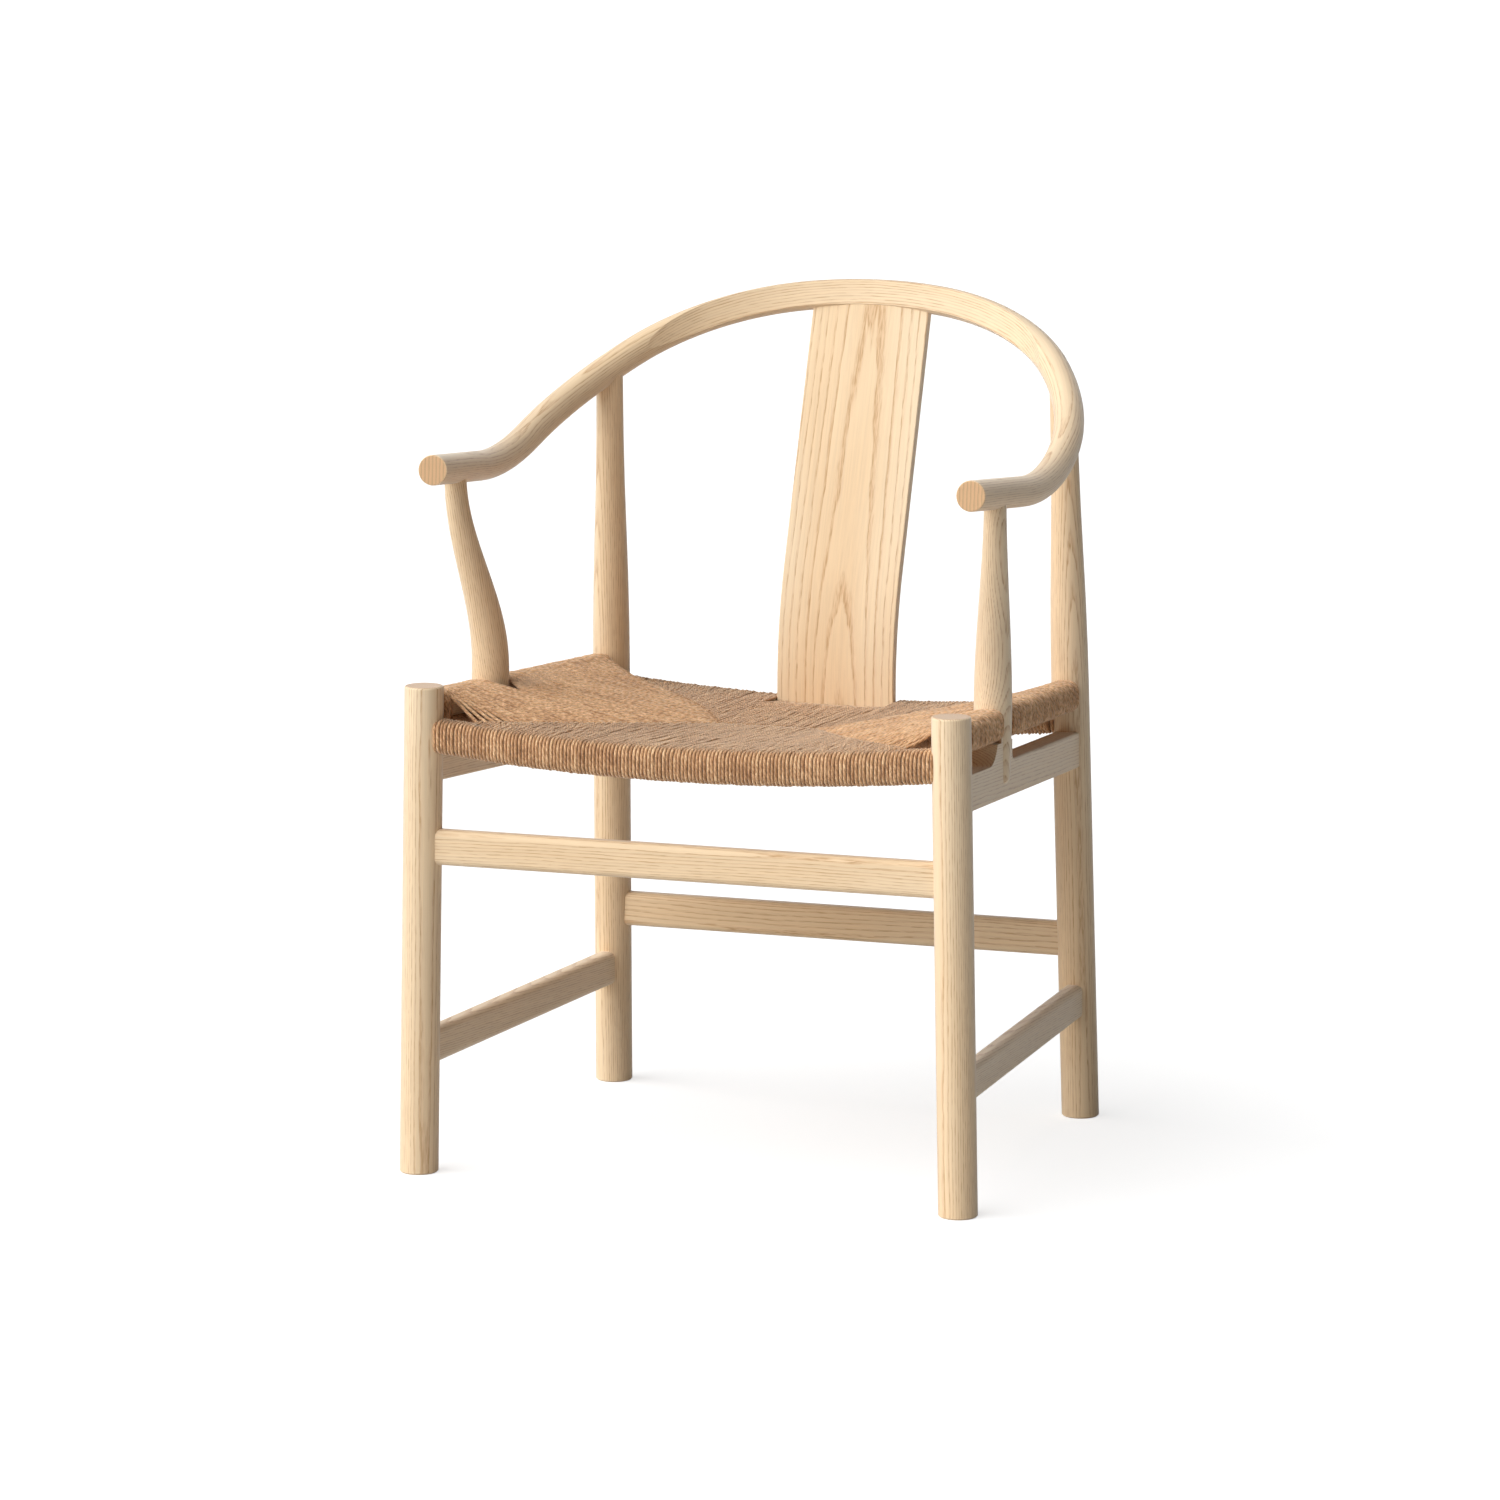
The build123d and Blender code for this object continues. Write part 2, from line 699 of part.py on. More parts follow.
def front_panel():
    sections = [
        end_panel_section(front_rail_axis(x), front_rail_depth, front_rail_height, 1, (x, *rest))
        for x, *rest in both_sides(seam[:3])
    ]
    reach = 2 * front_wrap_half_length
    window = Pos(0, front_rail_end.Y, front_rail_end_level) * Box(reach, reach, reach)
    sleeve = front_rail_body(wrap) & window
    panel = sleeve + ruled_pads(sections) - front_rail_body(soft_gap)
    return solid(panel - front_leg_soft - mirrored(front_leg_soft))


def rear_panel():
    sections = [
        end_panel_section(rear_rail_axis(x), rear_rail_depth, rear_rail_height, -1, (x, *rest))
        for x, *rest in both_sides(seam[:1:-1])
    ]
    panel = rear_rail_body(wrap) + ruled_pads(sections) - rear_rail_body(soft_gap)
    room = splat_thickness / 2 + soft_gap
    slot_width = splat_width + 2 * soft_gap
    slot = Pos(0, splat_foot_y - room + rear_rail_depth, rear_rail_middle.Z + rear_rail_height) * Box(
        slot_width, 2 * rear_rail_depth, 2 * rear_rail_height)
    return solid(panel - slot - rear_post_soft - mirrored(rear_post_soft))


def side_panel():
    sections = []
    first_y = front_leg_y + side_panel_front_run
    last_y = rear_rail_end.Y - side_panel_rear_run
    ends = (first_y, front_mid_y, ridge_y, rear_mid_y, last_y)
    half = side_rail_height / 2 + wrap - sheet_step
    for y, seam_point in zip(ends, seam):
        axis = side_rail_axis(y) - side_outward * (side_rail_depth / 2 - rail_edge_radius)
        sections.append(pad_section((axis.X, axis.Y), axis.Z + half, axis.Z - half, seam_point))
    half_gap = arm_post_diameter / 2 + soft_gap
    gap = side_plane * Pos(arm_post_station, side_rail_front_level) * Box(
        2 * half_gap, side_rail_depth * 4, side_rail_depth * 4)
    sleeve = side_rail_body(wrap) - gap
    post = cylinder_between(
        arm_foot - up * side_rail_height * 2, arm_foot + up * side_rail_height, half_gap)
    boss_room = side_plane * Pos(arm_post_station, arm_foot.Z - 3 * side_rail_height / 2) * Box(
        2 * half_gap, 2 * side_rail_height, apron_thickness + 2 * soft_gap)
    panel = sleeve + ruled_pads(sections) - side_rail_body(soft_gap) - post - boss_room
    return (panel - front_leg_soft - rear_post_soft).solids()


# ---- the pieces --------------------------------------------------------------------------------
def upright_round(shape):
    """Cuts an upright level at the floor."""
    return split(shape, bisect_by=Plane.XY, keep=Keep.TOP)


def front_leg():
    leg = upright_round(front_leg_round)
    leg = split(leg, bisect_by=Plane.XY.offset(front_leg_height), keep=Keep.BOTTOM)
    leg = fillet(leg.edges().group_by(Axis.Z)[-1], front_leg_top_radius)
    leg = chamfer(leg.edges().group_by(Axis.Z)[0], foot_bevel)
    leg = leg - end_tenon(front_rail_end, tenon_clearance, mortise_end_gap)
    leg = leg - mortise(side_rail_start, side_rail_finish, rail_tenon_thickness, rail_tenon_height)
    leg = leg - mortise(apron_start, apron_finish, apron_tenon_thickness, apron_tenon_height)
    leg = leg - stretcher_mortise(across(front_stretcher_end), front_stretcher_end)
    leg = leg - stretcher_mortise(side_stretcher_start, side_stretcher_finish)
    return solid(leg)


def rear_post_body():
    """Turned post: straight to the seat, then tapering in an S curve to its neck."""
    length = (REAR_POST_TOP - REAR_FOOT).length
    taper_end = length - rear_neck_length
    below = -rear_post_diameter
    wide, neck = rear_post_diameter / 2, rear_post_neck_diameter / 2
    middle = ((wide + neck) / 2, (rear_taper_start + taper_end) / 2)
    rim = [
        Line((0, below), (wide, below)),
        Line((wide, below), (wide, rear_taper_start)),
        TangentArc((wide, rear_taper_start), middle, tangent=(0, 1)),
        TangentArc((neck, taper_end), middle, tangent=(0, -1)),
        Line((neck, taper_end), (neck, length)),
        Line((neck, length), (0, length)),
        Line((0, length), (0, below)),
    ]
    profile = Plane.XZ * make_face(Wire([piece.edge() for piece in rim]))
    post = revolve(profile, axis=Axis.Z)
    direction = (REAR_POST_TOP - REAR_FOOT).normalized()
    return Plane(origin=REAR_FOOT, z_dir=direction) * post


def rear_post_tenon(grow=0.0, end_gap=0.0):
    direction = (REAR_POST_TOP - REAR_FOOT).normalized()
    reach = rear_tenon_depth - bow_diameter / 2 + end_gap
    start = REAR_POST_TOP - direction * (bow_diameter + rear_tenon_depth)
    return cylinder_between(start, REAR_POST_TOP + direction * reach, rear_tenon_diameter / 2 + grow)


def rear_post(bow):
    post = upright_round(rear_post_body())
    post = chamfer(post.edges().group_by(Axis.Z)[0], foot_bevel)
    post = solid(post - bow) + rear_post_tenon()
    post = post - end_tenon(rear_rail_end, tenon_clearance, mortise_end_gap)
    post = post - mortise(side_rail_start, side_rail_finish, rail_tenon_thickness, rail_tenon_height)
    post = post - mortise(apron_start, apron_finish, apron_tenon_thickness, apron_tenon_height)
    post = post - stretcher_mortise(across(rear_stretcher_end), rear_stretcher_end)
    post = post - stretcher_mortise(side_stretcher_start, side_stretcher_finish)
    return solid(post)


def arm_post(bow):
    post = loft([section.face() for section in arm_sections()])
    post = solid(post - bow) + arm_head_tenon() + arm_cheek()
    return solid(post + arm_foot_tenon())


def arm_seat():
    """Everything that the arm post takes out of the side rail and the apron."""
    shoulder = cylinder_between(
        arm_foot, arm_foot + up * arm_post_diameter, arm_post_diameter / 2 + tenon_clearance)
    return shoulder + arm_cheek(tenon_clearance) + arm_foot_tenon(tenon_clearance, mortise_end_gap)


def side_rail():
    """Side rail with square shoulders under the cord and a tenon bar right through it."""
    along = (side_rail_finish - side_rail_start).normalized()
    rail = bar(
        side_rail_start + along * (front_leg_diameter / 2 + side_shoulder_gap),
        side_rail_finish - along * (rear_post_diameter / 2 + side_shoulder_gap),
        side_rail_depth, side_rail_height, rail_edge_radius,
    )
    tenon = core(side_rail_start, side_rail_finish, rail_tenon_thickness, rail_tenon_height,
                 overrun=tenon_past_axis)
    return solid(rail + tenon - arm_seat())


def side_apron():
    board = apron_body() - front_leg_round - rear_post_round
    tenon = core(apron_start, apron_finish, apron_tenon_thickness, apron_tenon_height,
                 overrun=tenon_past_axis)
    return solid(board + tenon - arm_seat())


def back_bow(round_rail):
    rail = round_rail
    for cut in (
        rear_post_tenon(tenon_clearance, mortise_end_gap),
        arm_head_tenon(tenon_clearance, mortise_end_gap),
    ):
        rail = rail - cut - mirrored(cut)
    return solid(rail - splat_tongue(tenon_clearance, mortise_end_gap))


def back_splat(round_rail):
    board = splat_board(
        splat_width, splat_thickness, splat_edge_radius, -bow_diameter / 4,
        rear_rail_middle.Z + rear_rail_height / 2 - cut_margin / 2,
    )
    return solid(board - round_rail - rear_rail_body() + splat_tongue())


faceted_bow = bow_round() - facet_cutter()

right_pieces = {
    "front_leg": front_leg(),
    "rear_post": rear_post(faceted_bow),
    "arm_post": arm_post(faceted_bow),
    "side_seat_rail": side_rail(),
    "side_apron": side_apron(),
    "side_stretcher": stretcher(
        side_stretcher_start, side_stretcher_finish, (front_leg_round, rear_post_round)),
}
pieces = {
    "back_bow": back_bow(faceted_bow),
    "back_splat": back_splat(faceted_bow),
    "front_seat_rail": rail_with_tenons(front_rail_body(), front_rail_end, front_shoulder),
    "rear_seat_rail": rail_with_tenons(rear_rail_body(), rear_rail_end, rear_shoulder)
    - splat_tongue(tenon_clearance, mortise_end_gap),
    "front_stretcher": stretcher(
        across(front_stretcher_end), front_stretcher_end,
        (front_leg_round, mirrored(front_leg_round))),
    "rear_stretcher": stretcher(
        across(rear_stretcher_end), rear_stretcher_end,
        (rear_post_round, mirrored(rear_post_round))),
    "seat_weave_front": front_panel(),
    "seat_weave_rear": rear_panel(),
}
for name, piece in right_pieces.items():
    pieces[name + "_right"] = piece
    pieces[name + "_left"] = mirrored(piece)
weave = Part() + side_panel()
pieces["seat_weave_right"] = weave
pieces["seat_weave_left"] = mirrored(weave)

os.makedirs("parts", exist_ok=True)
for name, piece in pieces.items():
    piece.label = name
    export_step(piece, f"parts/{name}.step")
    box = piece.bounding_box()
    print(f"{name}: {len(piece.solids())} solid, {piece.volume / 1000:.1f} cm3, "
          f"Y {box.min.Y:.1f} to {box.max.Y:.1f}, Z {box.min.Z:.1f} to {box.max.Z:.1f}")
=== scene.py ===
from math import atan2, pi, radians, sin, tan

import bpy
import numpy as np
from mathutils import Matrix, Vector


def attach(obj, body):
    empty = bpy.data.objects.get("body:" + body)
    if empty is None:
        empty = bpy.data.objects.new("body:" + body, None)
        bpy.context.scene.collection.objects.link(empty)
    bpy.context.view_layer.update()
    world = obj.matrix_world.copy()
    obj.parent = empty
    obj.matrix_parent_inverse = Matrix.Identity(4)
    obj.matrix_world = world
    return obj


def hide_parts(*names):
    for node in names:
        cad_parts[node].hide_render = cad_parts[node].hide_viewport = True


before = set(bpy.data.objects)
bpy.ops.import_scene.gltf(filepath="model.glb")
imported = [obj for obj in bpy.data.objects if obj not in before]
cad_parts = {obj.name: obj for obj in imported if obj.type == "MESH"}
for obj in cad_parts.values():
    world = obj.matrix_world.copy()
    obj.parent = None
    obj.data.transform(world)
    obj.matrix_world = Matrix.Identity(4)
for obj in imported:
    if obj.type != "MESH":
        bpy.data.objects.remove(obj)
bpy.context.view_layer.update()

# Horseshoe back armchair.  Metres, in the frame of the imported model: +Z up, the sitter faces -Y.
# The wooden nodes keep their shape and get ash.  Strands of cord stand for the four seat panels.
MM = 0.001
SEED = 7
RIGHT = np.array([1.0, 0, 0])
BACK = np.array([0, 1.0, 0])
UP = np.array([0, 0, 1.0])
rng = np.random.default_rng(SEED)

# ---- seat frame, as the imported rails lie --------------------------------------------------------
front_end = np.array([261.9, -259.5, 422.5]) * MM     # right end of the front rail axis
front_bow, front_sag = 13.3 * MM, 12.5 * MM
front_half = np.array([23.0, 25.5]) * MM / 2          # half depth and half height of the wood
rear_end = np.array([239.46, 168.03, 401.0]) * MM
rear_sag = 12.3 * MM
rear_half = np.array([23.0, 25.0]) * MM / 2
side_front = np.array([262.17, -262.5, 446.8]) * MM   # side rail axis on the front leg axis
side_rear = np.array([239.34, 167.7, 423.1]) * MM     # and on the rear post axis
side_half = np.array([23.0, 23.5]) * MM / 2
wood_edge_radius = 6.0 * MM

# ---- paper cord, and where its strands lie ------------------------------------------------------
cord_radius = 1.60 * MM
cord_pitch = 3.65 * MM
cord_lift = 2.0 * MM              # cord centre above the wood
cord_sides = 8

# Seams of the seat: x, y, upper and lower surface; a curve goes through each three points.
front_seam = np.array([(212, -248.3, 435, 412), (124, -160, 425, 402), (50, -37.5, 410, 391)]) * MM
rear_seam = np.array([(50, -37.5, 410, 391), (130, 84.5, 411, 391), (215, 152.2, 414, 395)]) * MM
seam_samples = 120                # of each curve, for finding places on it
ridge_half_length = front_seam[-1, 0]     # between the ends of the seams the panels meet on a ridge
seam_dip = 6.0 * MM
seam_dips = np.array([(0.5, -0.25), (0.9, -0.6), (1.0, -1.0)])   # how a strand turns down there
seam_overlap = 1.2 * MM           # front and rear strands turn down this far past the seam
seam_gap = 1.2 * MM               # and the side strands this far before it

corner_half_width = front_seam[0, 0]
leg_edge = 242.5 * MM             # beyond this the cord only laps over the leg
wrap_half_length = 248.0 * MM     # last cord on the front rail, over the edge of the leg
rear_corner_half_width = rear_seam[-1, 0]
rear_ring_steps = np.array([4.4, 9.2]) * MM      # from there to the two rings beside each post
splat_half_width = 60.6 * MM
splat_fold_drop = 4.0 * MM        # the cord stays below the top of the rail in front of the splat
splat_fold_foot = 2.0 * MM        # and starts this far under the rail
splat_fold_bend = (1.0 * MM, 3.0 * MM)           # how far its top bends forward, and over what height
side_wrap_ends = ((-227.0 * MM, -135.5 * MM), (-97.0 * MM, 142.0 * MM))   # before and behind the post
side_ring_ends = (-242.2 * MM, -230.7 * MM)      # the rings beside the front leg
loose_pitch = 4.6 * MM            # of the side strands at the seam, in front of the arm post
close_pitch = 3.9 * MM            # and behind it
swing_length = 42.0 * MM          # in which strands that make way come back to their place

run_points = 26                   # along a strand, from the rail to the seam
run_crowding = 1.3                # they lie closer together near the rail
carried_count, carried_points = 48, 5        # strands between the layers, and points along one
carried_reach = (222.0 * MM, 218.0 * MM)     # outermost of them, at the front and at the rear
carried_rise = 0.7                # towards the side rail, beyond the corner of the seams

# How uneven the handwork is.
radius_spread = 0.03
wrap_spread = 0.012               # in how closely a strand goes round its rail
place_drift = 0.10 * MM
ring_sway = 0.12 * MM
side_sway, up_sway = 0.20 * MM, 0.36 * MM
sway_knots = 36                   # places where a strand may leave its line
held_sway = 0.5                   # share of the sway that is left where the rail holds the strand
twist_start = 20.0 * MM           # the twist of a strand starts anywhere within this


def seam_at(points, x):
    """Points (x, y, top, low) of a seam at the distances x from the middle."""
    middle = points[:, 0].mean()
    columns = [np.polyval(np.polyfit(points[:, 0] - middle, points[:, k], 2), x - middle)
               for k in (1, 2, 3)]
    return np.stack([x, *columns], axis=1)


def sheet_seam(points, x):
    """Ends of the front or rear strands at x: on the seam, or on the ridge in the middle."""
    seam = seam_at(points, np.maximum(abs(x), ridge_half_length))
    seam[:, 0] = x
    return seam


def side_seam():
    """Places of the side strands on both seams, from the front corner to the rear one.

    Gives the places and how many of them belong to the strands in front of the arm post.
    """
    curves = [seam_at(points, np.linspace(points[0, 0], points[-1, 0], seam_samples))
              for points in (front_seam, rear_seam)]
    curve = np.concatenate(curves)
    start, end = curve[0, 1], curve[-1, 1]
    front_count = int(round((side_wrap_ends[0][1] - side_wrap_ends[0][0]) / cord_pitch)) + 1
    last = start + loose_pitch * (front_count - 1)
    rear_count = int(round((end - last) / close_pitch))
    y = np.concatenate([np.linspace(start, last, front_count),
                        np.linspace(last, end, rear_count + 1)[1:]])
    places = np.stack([np.interp(y, curve[:, 1], column) for column in curve.T], axis=1)
    places[:, 0] += seam_gap
    return places, front_count


def front_axis(x):
    """Points of the front rail's axis, which bows to the front and sags."""
    share = 1 - (x / front_end[0]) ** 2
    return np.stack([x, front_end[1] - front_bow * share, front_end[2] - front_sag * share], axis=1)


def rear_axis(x):
    """Points of the rear rail's axis, which sags."""
    share = 1 - (x / rear_end[0]) ** 2
    return np.stack([x, np.full_like(x, rear_end[1]), rear_end[2] - rear_sag * share], axis=1)


def side_axis(y):
    """Points of the right side rail's axis."""
    share = (y - side_front[1]) / (side_rear[1] - side_front[1])
    return side_front + (side_rear - side_front) * share[:, None]


# ---- tubes --------------------------------------------------------------------------------------
def tube_sides(paths, start_side, closed):
    """Two unit vectors across the tube at each of its points, carried along without a twist."""
    if closed:
        tangent = np.roll(paths, -1, axis=1) - np.roll(paths, 1, axis=1)
    else:
        tangent = np.gradient(paths, axis=1)
    tangent /= np.linalg.norm(tangent, axis=2, keepdims=True)
    side = np.empty_like(paths)
    last = np.broadcast_to(start_side, (len(paths), 3)).copy()
    for k in range(paths.shape[1]):
        last -= (last * tangent[:, k]).sum(axis=1, keepdims=True) * tangent[:, k]
        last /= np.linalg.norm(last, axis=1, keepdims=True)
        side[:, k] = last
    return side, np.cross(tangent, side)


def tube_faces(count, points, closed):
    """Faces along the tubes, strand by strand, then the caps of open ones."""
    steps = points if closed else points - 1
    strand = np.arange(count)[:, None, None] * points
    row = np.arange(steps)[None, :, None]
    column = np.arange(cord_sides)[None, None, :]
    here = (strand + row) * cord_sides
    there = (strand + (row + 1) % points) * cord_sides
    right = (column + 1) % cord_sides
    corners = np.broadcast_arrays(here + column, here + right, there + right, there + column)
    faces = np.stack(corners, axis=-1).reshape(-1, 4).tolist()
    if not closed:
        around = np.arange(cord_sides)
        first = (np.arange(count) * points * cord_sides)[:, None] + around[::-1]
        final = ((np.arange(count) + 1) * points - 1)[:, None] * cord_sides + around
        faces += first.tolist() + final.tolist()
    return faces


def cord_uv(paths, closed):
    """UVs of the faces along the tubes: u once round the cord, v in metres along it."""
    count, points, _ = paths.shape
    steps = points if closed else points - 1
    step = np.linalg.norm(np.diff(paths, axis=1, append=paths[:, :1]), axis=2)
    along = np.concatenate([np.zeros((count, 1)), np.cumsum(step, axis=1)], axis=1)
    along = along + rng.uniform(0, twist_start, (count, 1))
    low, high = along[:, :steps, None], along[:, 1:steps + 1, None]
    column = np.arange(cord_sides)[None, None, :]
    around, next_around = column / cord_sides, (column + 1) / cord_sides
    corners = [np.broadcast_arrays(u, v) for u, v in
               ((around, low), (next_around, low), (next_around, high), (around, high))]
    return np.stack([np.stack(corner, axis=-1) for corner in corners], axis=-2).reshape(-1, 2)


def tube_mesh(name, paths, start_side, closed=False):
    """One mesh of tubes along paths (strand, point, xyz), with UVs and a tone for each strand."""
    count, points, _ = paths.shape
    side, other = tube_sides(paths, start_side, closed)
    angle = 2 * pi * np.arange(cord_sides)[:, None] / cord_sides
    radius = cord_radius * (1 + radius_spread * rng.standard_normal((count, 1, 1, 1)))
    ring = np.cos(angle) * side[:, :, None, :] + np.sin(angle) * other[:, :, None, :]
    vertices = (paths[:, :, None, :] + radius * ring).reshape(-1, 3)
    mesh = bpy.data.meshes.new(name)
    mesh.from_pydata(vertices, [], tube_faces(count, points, closed))
    mesh.polygons.foreach_set("use_smooth", np.ones(len(mesh.polygons), bool))

    uv = cord_uv(paths, closed)
    caps = np.zeros((len(mesh.loops) - len(uv), 2))
    layer = mesh.uv_layers.new(name="cord")
    layer.data.foreach_set("uv", np.concatenate([uv, caps]).astype(np.float32).ravel())
    tone = np.repeat(rng.uniform(0, 1, count), points * cord_sides).astype(np.float32)
    mesh.attributes.new("strand_tone", "FLOAT", "POINT").data.foreach_set("value", tone)
    return mesh


def joined(name, meshes):
    """One object from several meshes."""
    objects = []
    for mesh in meshes:
        part = bpy.data.objects.new(name, mesh)
        bpy.context.scene.collection.objects.link(part)
        objects.append(part)
    with bpy.context.temp_override(active_object=objects[0], selected_editable_objects=objects):
        bpy.ops.object.join()
    objects[0].name = name
    return objects[0]


# ---- strands ------------------------------------------------------------------------------------
def rail_outline(half):
    """Cord centreline round a rail, outward and up from its axis: from below, outside, to the top."""
    depth, height = half + cord_lift
    radius = wood_edge_radius + cord_lift
    turn = np.radians((0, 30, 60, 90))
    upper = (depth - radius, height - radius) + radius * np.stack([np.cos(turn), np.sin(turn)], axis=1)
    lower = upper[::-1] * (1, -1)
    return np.array([(radius - depth, -height), *lower, (depth, 0), *upper, (radius - depth, height)])


def wrap_points(centres, outward, outline):
    """Outline points in space for each rail centre: (strand, point, xyz)."""
    offset = outline[:, :1] * outward + outline[:, 1:] * UP
    return centres[:, None, :] + offset[None]


def wavering(count, points, size, knots=5):
    """Slow wander of each strand, from end to end."""
    values = rng.normal(0, size, (count, knots))
    place = np.linspace(0, knots - 1, points)
    return np.stack([np.interp(place, np.arange(knots), row) for row in values])


def run_to_seam(wrap_end, start, seam_end, outward):
    """Strands from the edge of a rail to the seam.

    They aim from start, but leave the rail at wrap_end and swing over within swing_length.
    """
    share = np.linspace(0, 1, run_points + 1)[1:, None] ** run_crowding
    run = start[:, None] + (seam_end[:, None] - start[:, None]) * share
    reach = ((start[:, None] - run) * outward).sum(axis=2, keepdims=True)
    gone = np.clip(reach / swing_length, 0, 1)
    left = 1 - gone * gone * (3 - 2 * gone)
    return run + (wrap_end - start)[:, None] * left


def sheet_strands(centres, outward, along, outline, seam, overlap=seam_overlap, even=None):
    """Strands from the seam below, round the rail and back to the seam above, with dipped ends.

    The lower layer lies half a pitch further along, as a cord wound round a rail does.  even
    holds the rail centres that the strands would have with nothing in their way: a strand that
    makes way for the arm post or the splat swings back into its place within a short distance.
    """
    uneven = 1 + rng.normal(0, wrap_spread, (len(centres), 1, 1))
    wraps = wrap_points(centres, outward, outline)
    wraps = centres[:, None] + (wraps - centres[:, None]) * uneven
    start = wraps if even is None else wraps + (even - centres)[:, None]
    top_seam = seam[:, [0, 1, 2]] - UP * cord_radius
    low_seam = seam[:, [0, 1, 3]] + UP * cord_radius
    top_run = run_to_seam(wraps[:, -1], start[:, -1], top_seam, outward)
    low_run = run_to_seam(wraps[:, 0], start[:, 0], low_seam, outward)
    past = seam_dips[:, :1] * -outward * (overlap + cord_radius)
    down = seam_dips[:, 1:] * UP * seam_dip
    top_dip = top_seam[:, None] + past + down
    low_dip = low_seam[:, None] + past - down
    paths = np.concatenate([low_dip[:, ::-1], low_run[:, ::-1], wraps, top_run, top_dip], axis=1)

    lower = len(seam_dips) + run_points + 1
    paths[:, :lower] += along * cord_pitch / 2
    count, points, _ = paths.shape
    loose = np.ones(points)
    loose[lower:lower + len(outline) - 1] = held_sway
    paths = paths + along * (wavering(count, points, side_sway, sway_knots) * loose)[..., None]
    return paths + UP * (wavering(count, points, up_sway, sway_knots) * loose)[..., None]


def ring_strands(centres, outward, half):
    """Strands that only go round a rail."""
    outer = rail_outline(half)[1:-1]
    inner = outer[::-1] * (-1, 1)
    paths = wrap_points(centres, outward, np.concatenate([outer, inner]))
    return paths + wavering(len(paths), 1, ring_sway)[..., None]


def spread(start, end, pitch):
    """Even places about one pitch apart, each a little out of place."""
    count = max(int(round(abs(end - start) / pitch)), 1) + 1
    places = np.linspace(start, end, count)
    drift = np.cumsum(rng.normal(0, place_drift, count))
    drift -= np.linspace(drift[0], drift[-1], count)
    return places + drift


def front_weave():
    """The front panel, with rings and laps of cord at both ends of its rail."""
    x = spread(-corner_half_width, corner_half_width, cord_pitch)
    outline = rail_outline(front_half)
    sheet = sheet_strands(front_axis(x), -BACK, RIGHT, outline, sheet_seam(front_seam, x))
    meshes = [tube_mesh("front_sheet", sheet, RIGHT)]
    for sign in (-1, 1):
        x = sign * spread(corner_half_width + cord_pitch, leg_edge, cord_pitch)
        rings = ring_strands(front_axis(x), -BACK, front_half)
        meshes.append(tube_mesh("front_rings", rings, RIGHT, closed=True))
        x = sign * np.arange(leg_edge + cord_pitch, wrap_half_length, cord_pitch)
        laps = wrap_points(front_axis(x), -BACK, outline[1:-1])
        meshes.append(tube_mesh("front_laps", laps, RIGHT))
    return joined("cord_front", meshes)


def splat_fold():
    """Cord centreline in front of the rear rail under the splat, where none goes round the rail."""
    depth, height = rear_half + cord_lift
    top = height - splat_fold_drop
    forward, bend_height = splat_fold_bend
    return np.array([(-depth, -height - splat_fold_foot), (-depth, 0), (-depth, top - bend_height),
                     (-depth - forward, top)])


def rear_weave():
    """The rear panel: under the splat, beside it, and rings of cord at both ends of its rail."""
    outline, fold = rail_outline(rear_half), splat_fold()
    inner_half = splat_half_width - cord_pitch / 2
    groups = [(spread(-inner_half, inner_half, cord_pitch), fold)]
    for sign in (-1, 1):
        outer = sign * spread(splat_half_width + cord_pitch / 2, rear_corner_half_width, cord_pitch)
        groups.append((outer, outline))
    meshes = []
    for x, way in groups:
        centres = rear_axis(x)
        even = centres + UP * splat_fold_drop if way is fold else None
        sheet = sheet_strands(centres, BACK, RIGHT, way, sheet_seam(rear_seam, x), even=even)
        meshes.append(tube_mesh("rear_sheet", sheet, RIGHT))
    for sign in (-1, 1):
        x = sign * (rear_corner_half_width + rear_ring_steps)
        rings = ring_strands(rear_axis(x), BACK, rear_half)
        meshes.append(tube_mesh("rear_rings", rings, RIGHT, closed=True))
    return joined("cord_rear", meshes)


def carried_strands():
    """Runs of cord from the front seam to the rear one, hidden between the layers of a side."""
    ends = []
    for points, reach in zip((front_seam, rear_seam), carried_reach):
        x = np.linspace(ridge_half_length + cord_pitch, reach, carried_count)
        corner = points[:, 0].max()
        seam = seam_at(points, np.minimum(x, corner))
        level = (seam[:, 2] + seam[:, 3]) / 2 + carried_rise * np.maximum(x - corner, 0)
        ends.append(np.stack([x, seam[:, 1], level], axis=1))
    share = np.linspace(0, 1, carried_points)[:, None]
    return ends[0][:, None] + (ends[1] - ends[0])[:, None] * share


def side_weave(sign, name):
    """A side panel, in front of the arm post and behind it, on the right (1) or left (-1)."""
    seam, front_count = side_seam()
    counts = (front_count, len(seam) - front_count)
    y = np.concatenate([spread(start, end, (end - start) / (count - 1))
                        for (start, end), count in zip(side_wrap_ends, counts)])
    even = np.linspace(y[0], y[-1], len(seam))
    sheet = sheet_strands(side_axis(y), RIGHT, BACK, rail_outline(side_half), seam,
                          overlap=0, even=side_axis(even))
    rings = ring_strands(side_axis(spread(*side_ring_ends, cord_pitch)), RIGHT, side_half)
    meshes = []
    for paths, side, closed in ((sheet, BACK, False), (rings, BACK, True),
                                (carried_strands(), RIGHT, False)):
        paths = paths * (sign, 1, 1)
        if sign < 0:
            paths = paths[:, ::-1]      # on the left every strand runs the other way
        meshes.append(tube_mesh(name, paths, side, closed))
    return joined(name, meshes)


cords = {
    "cord_front": (front_weave(), "seat_weave_front"),
    "cord_rear": (rear_weave(), "seat_weave_rear"),
    "cord_right": (side_weave(1, "cord_right"), "seat_weave_right"),
    "cord_left": (side_weave(-1, "cord_left"), "seat_weave_left"),
}


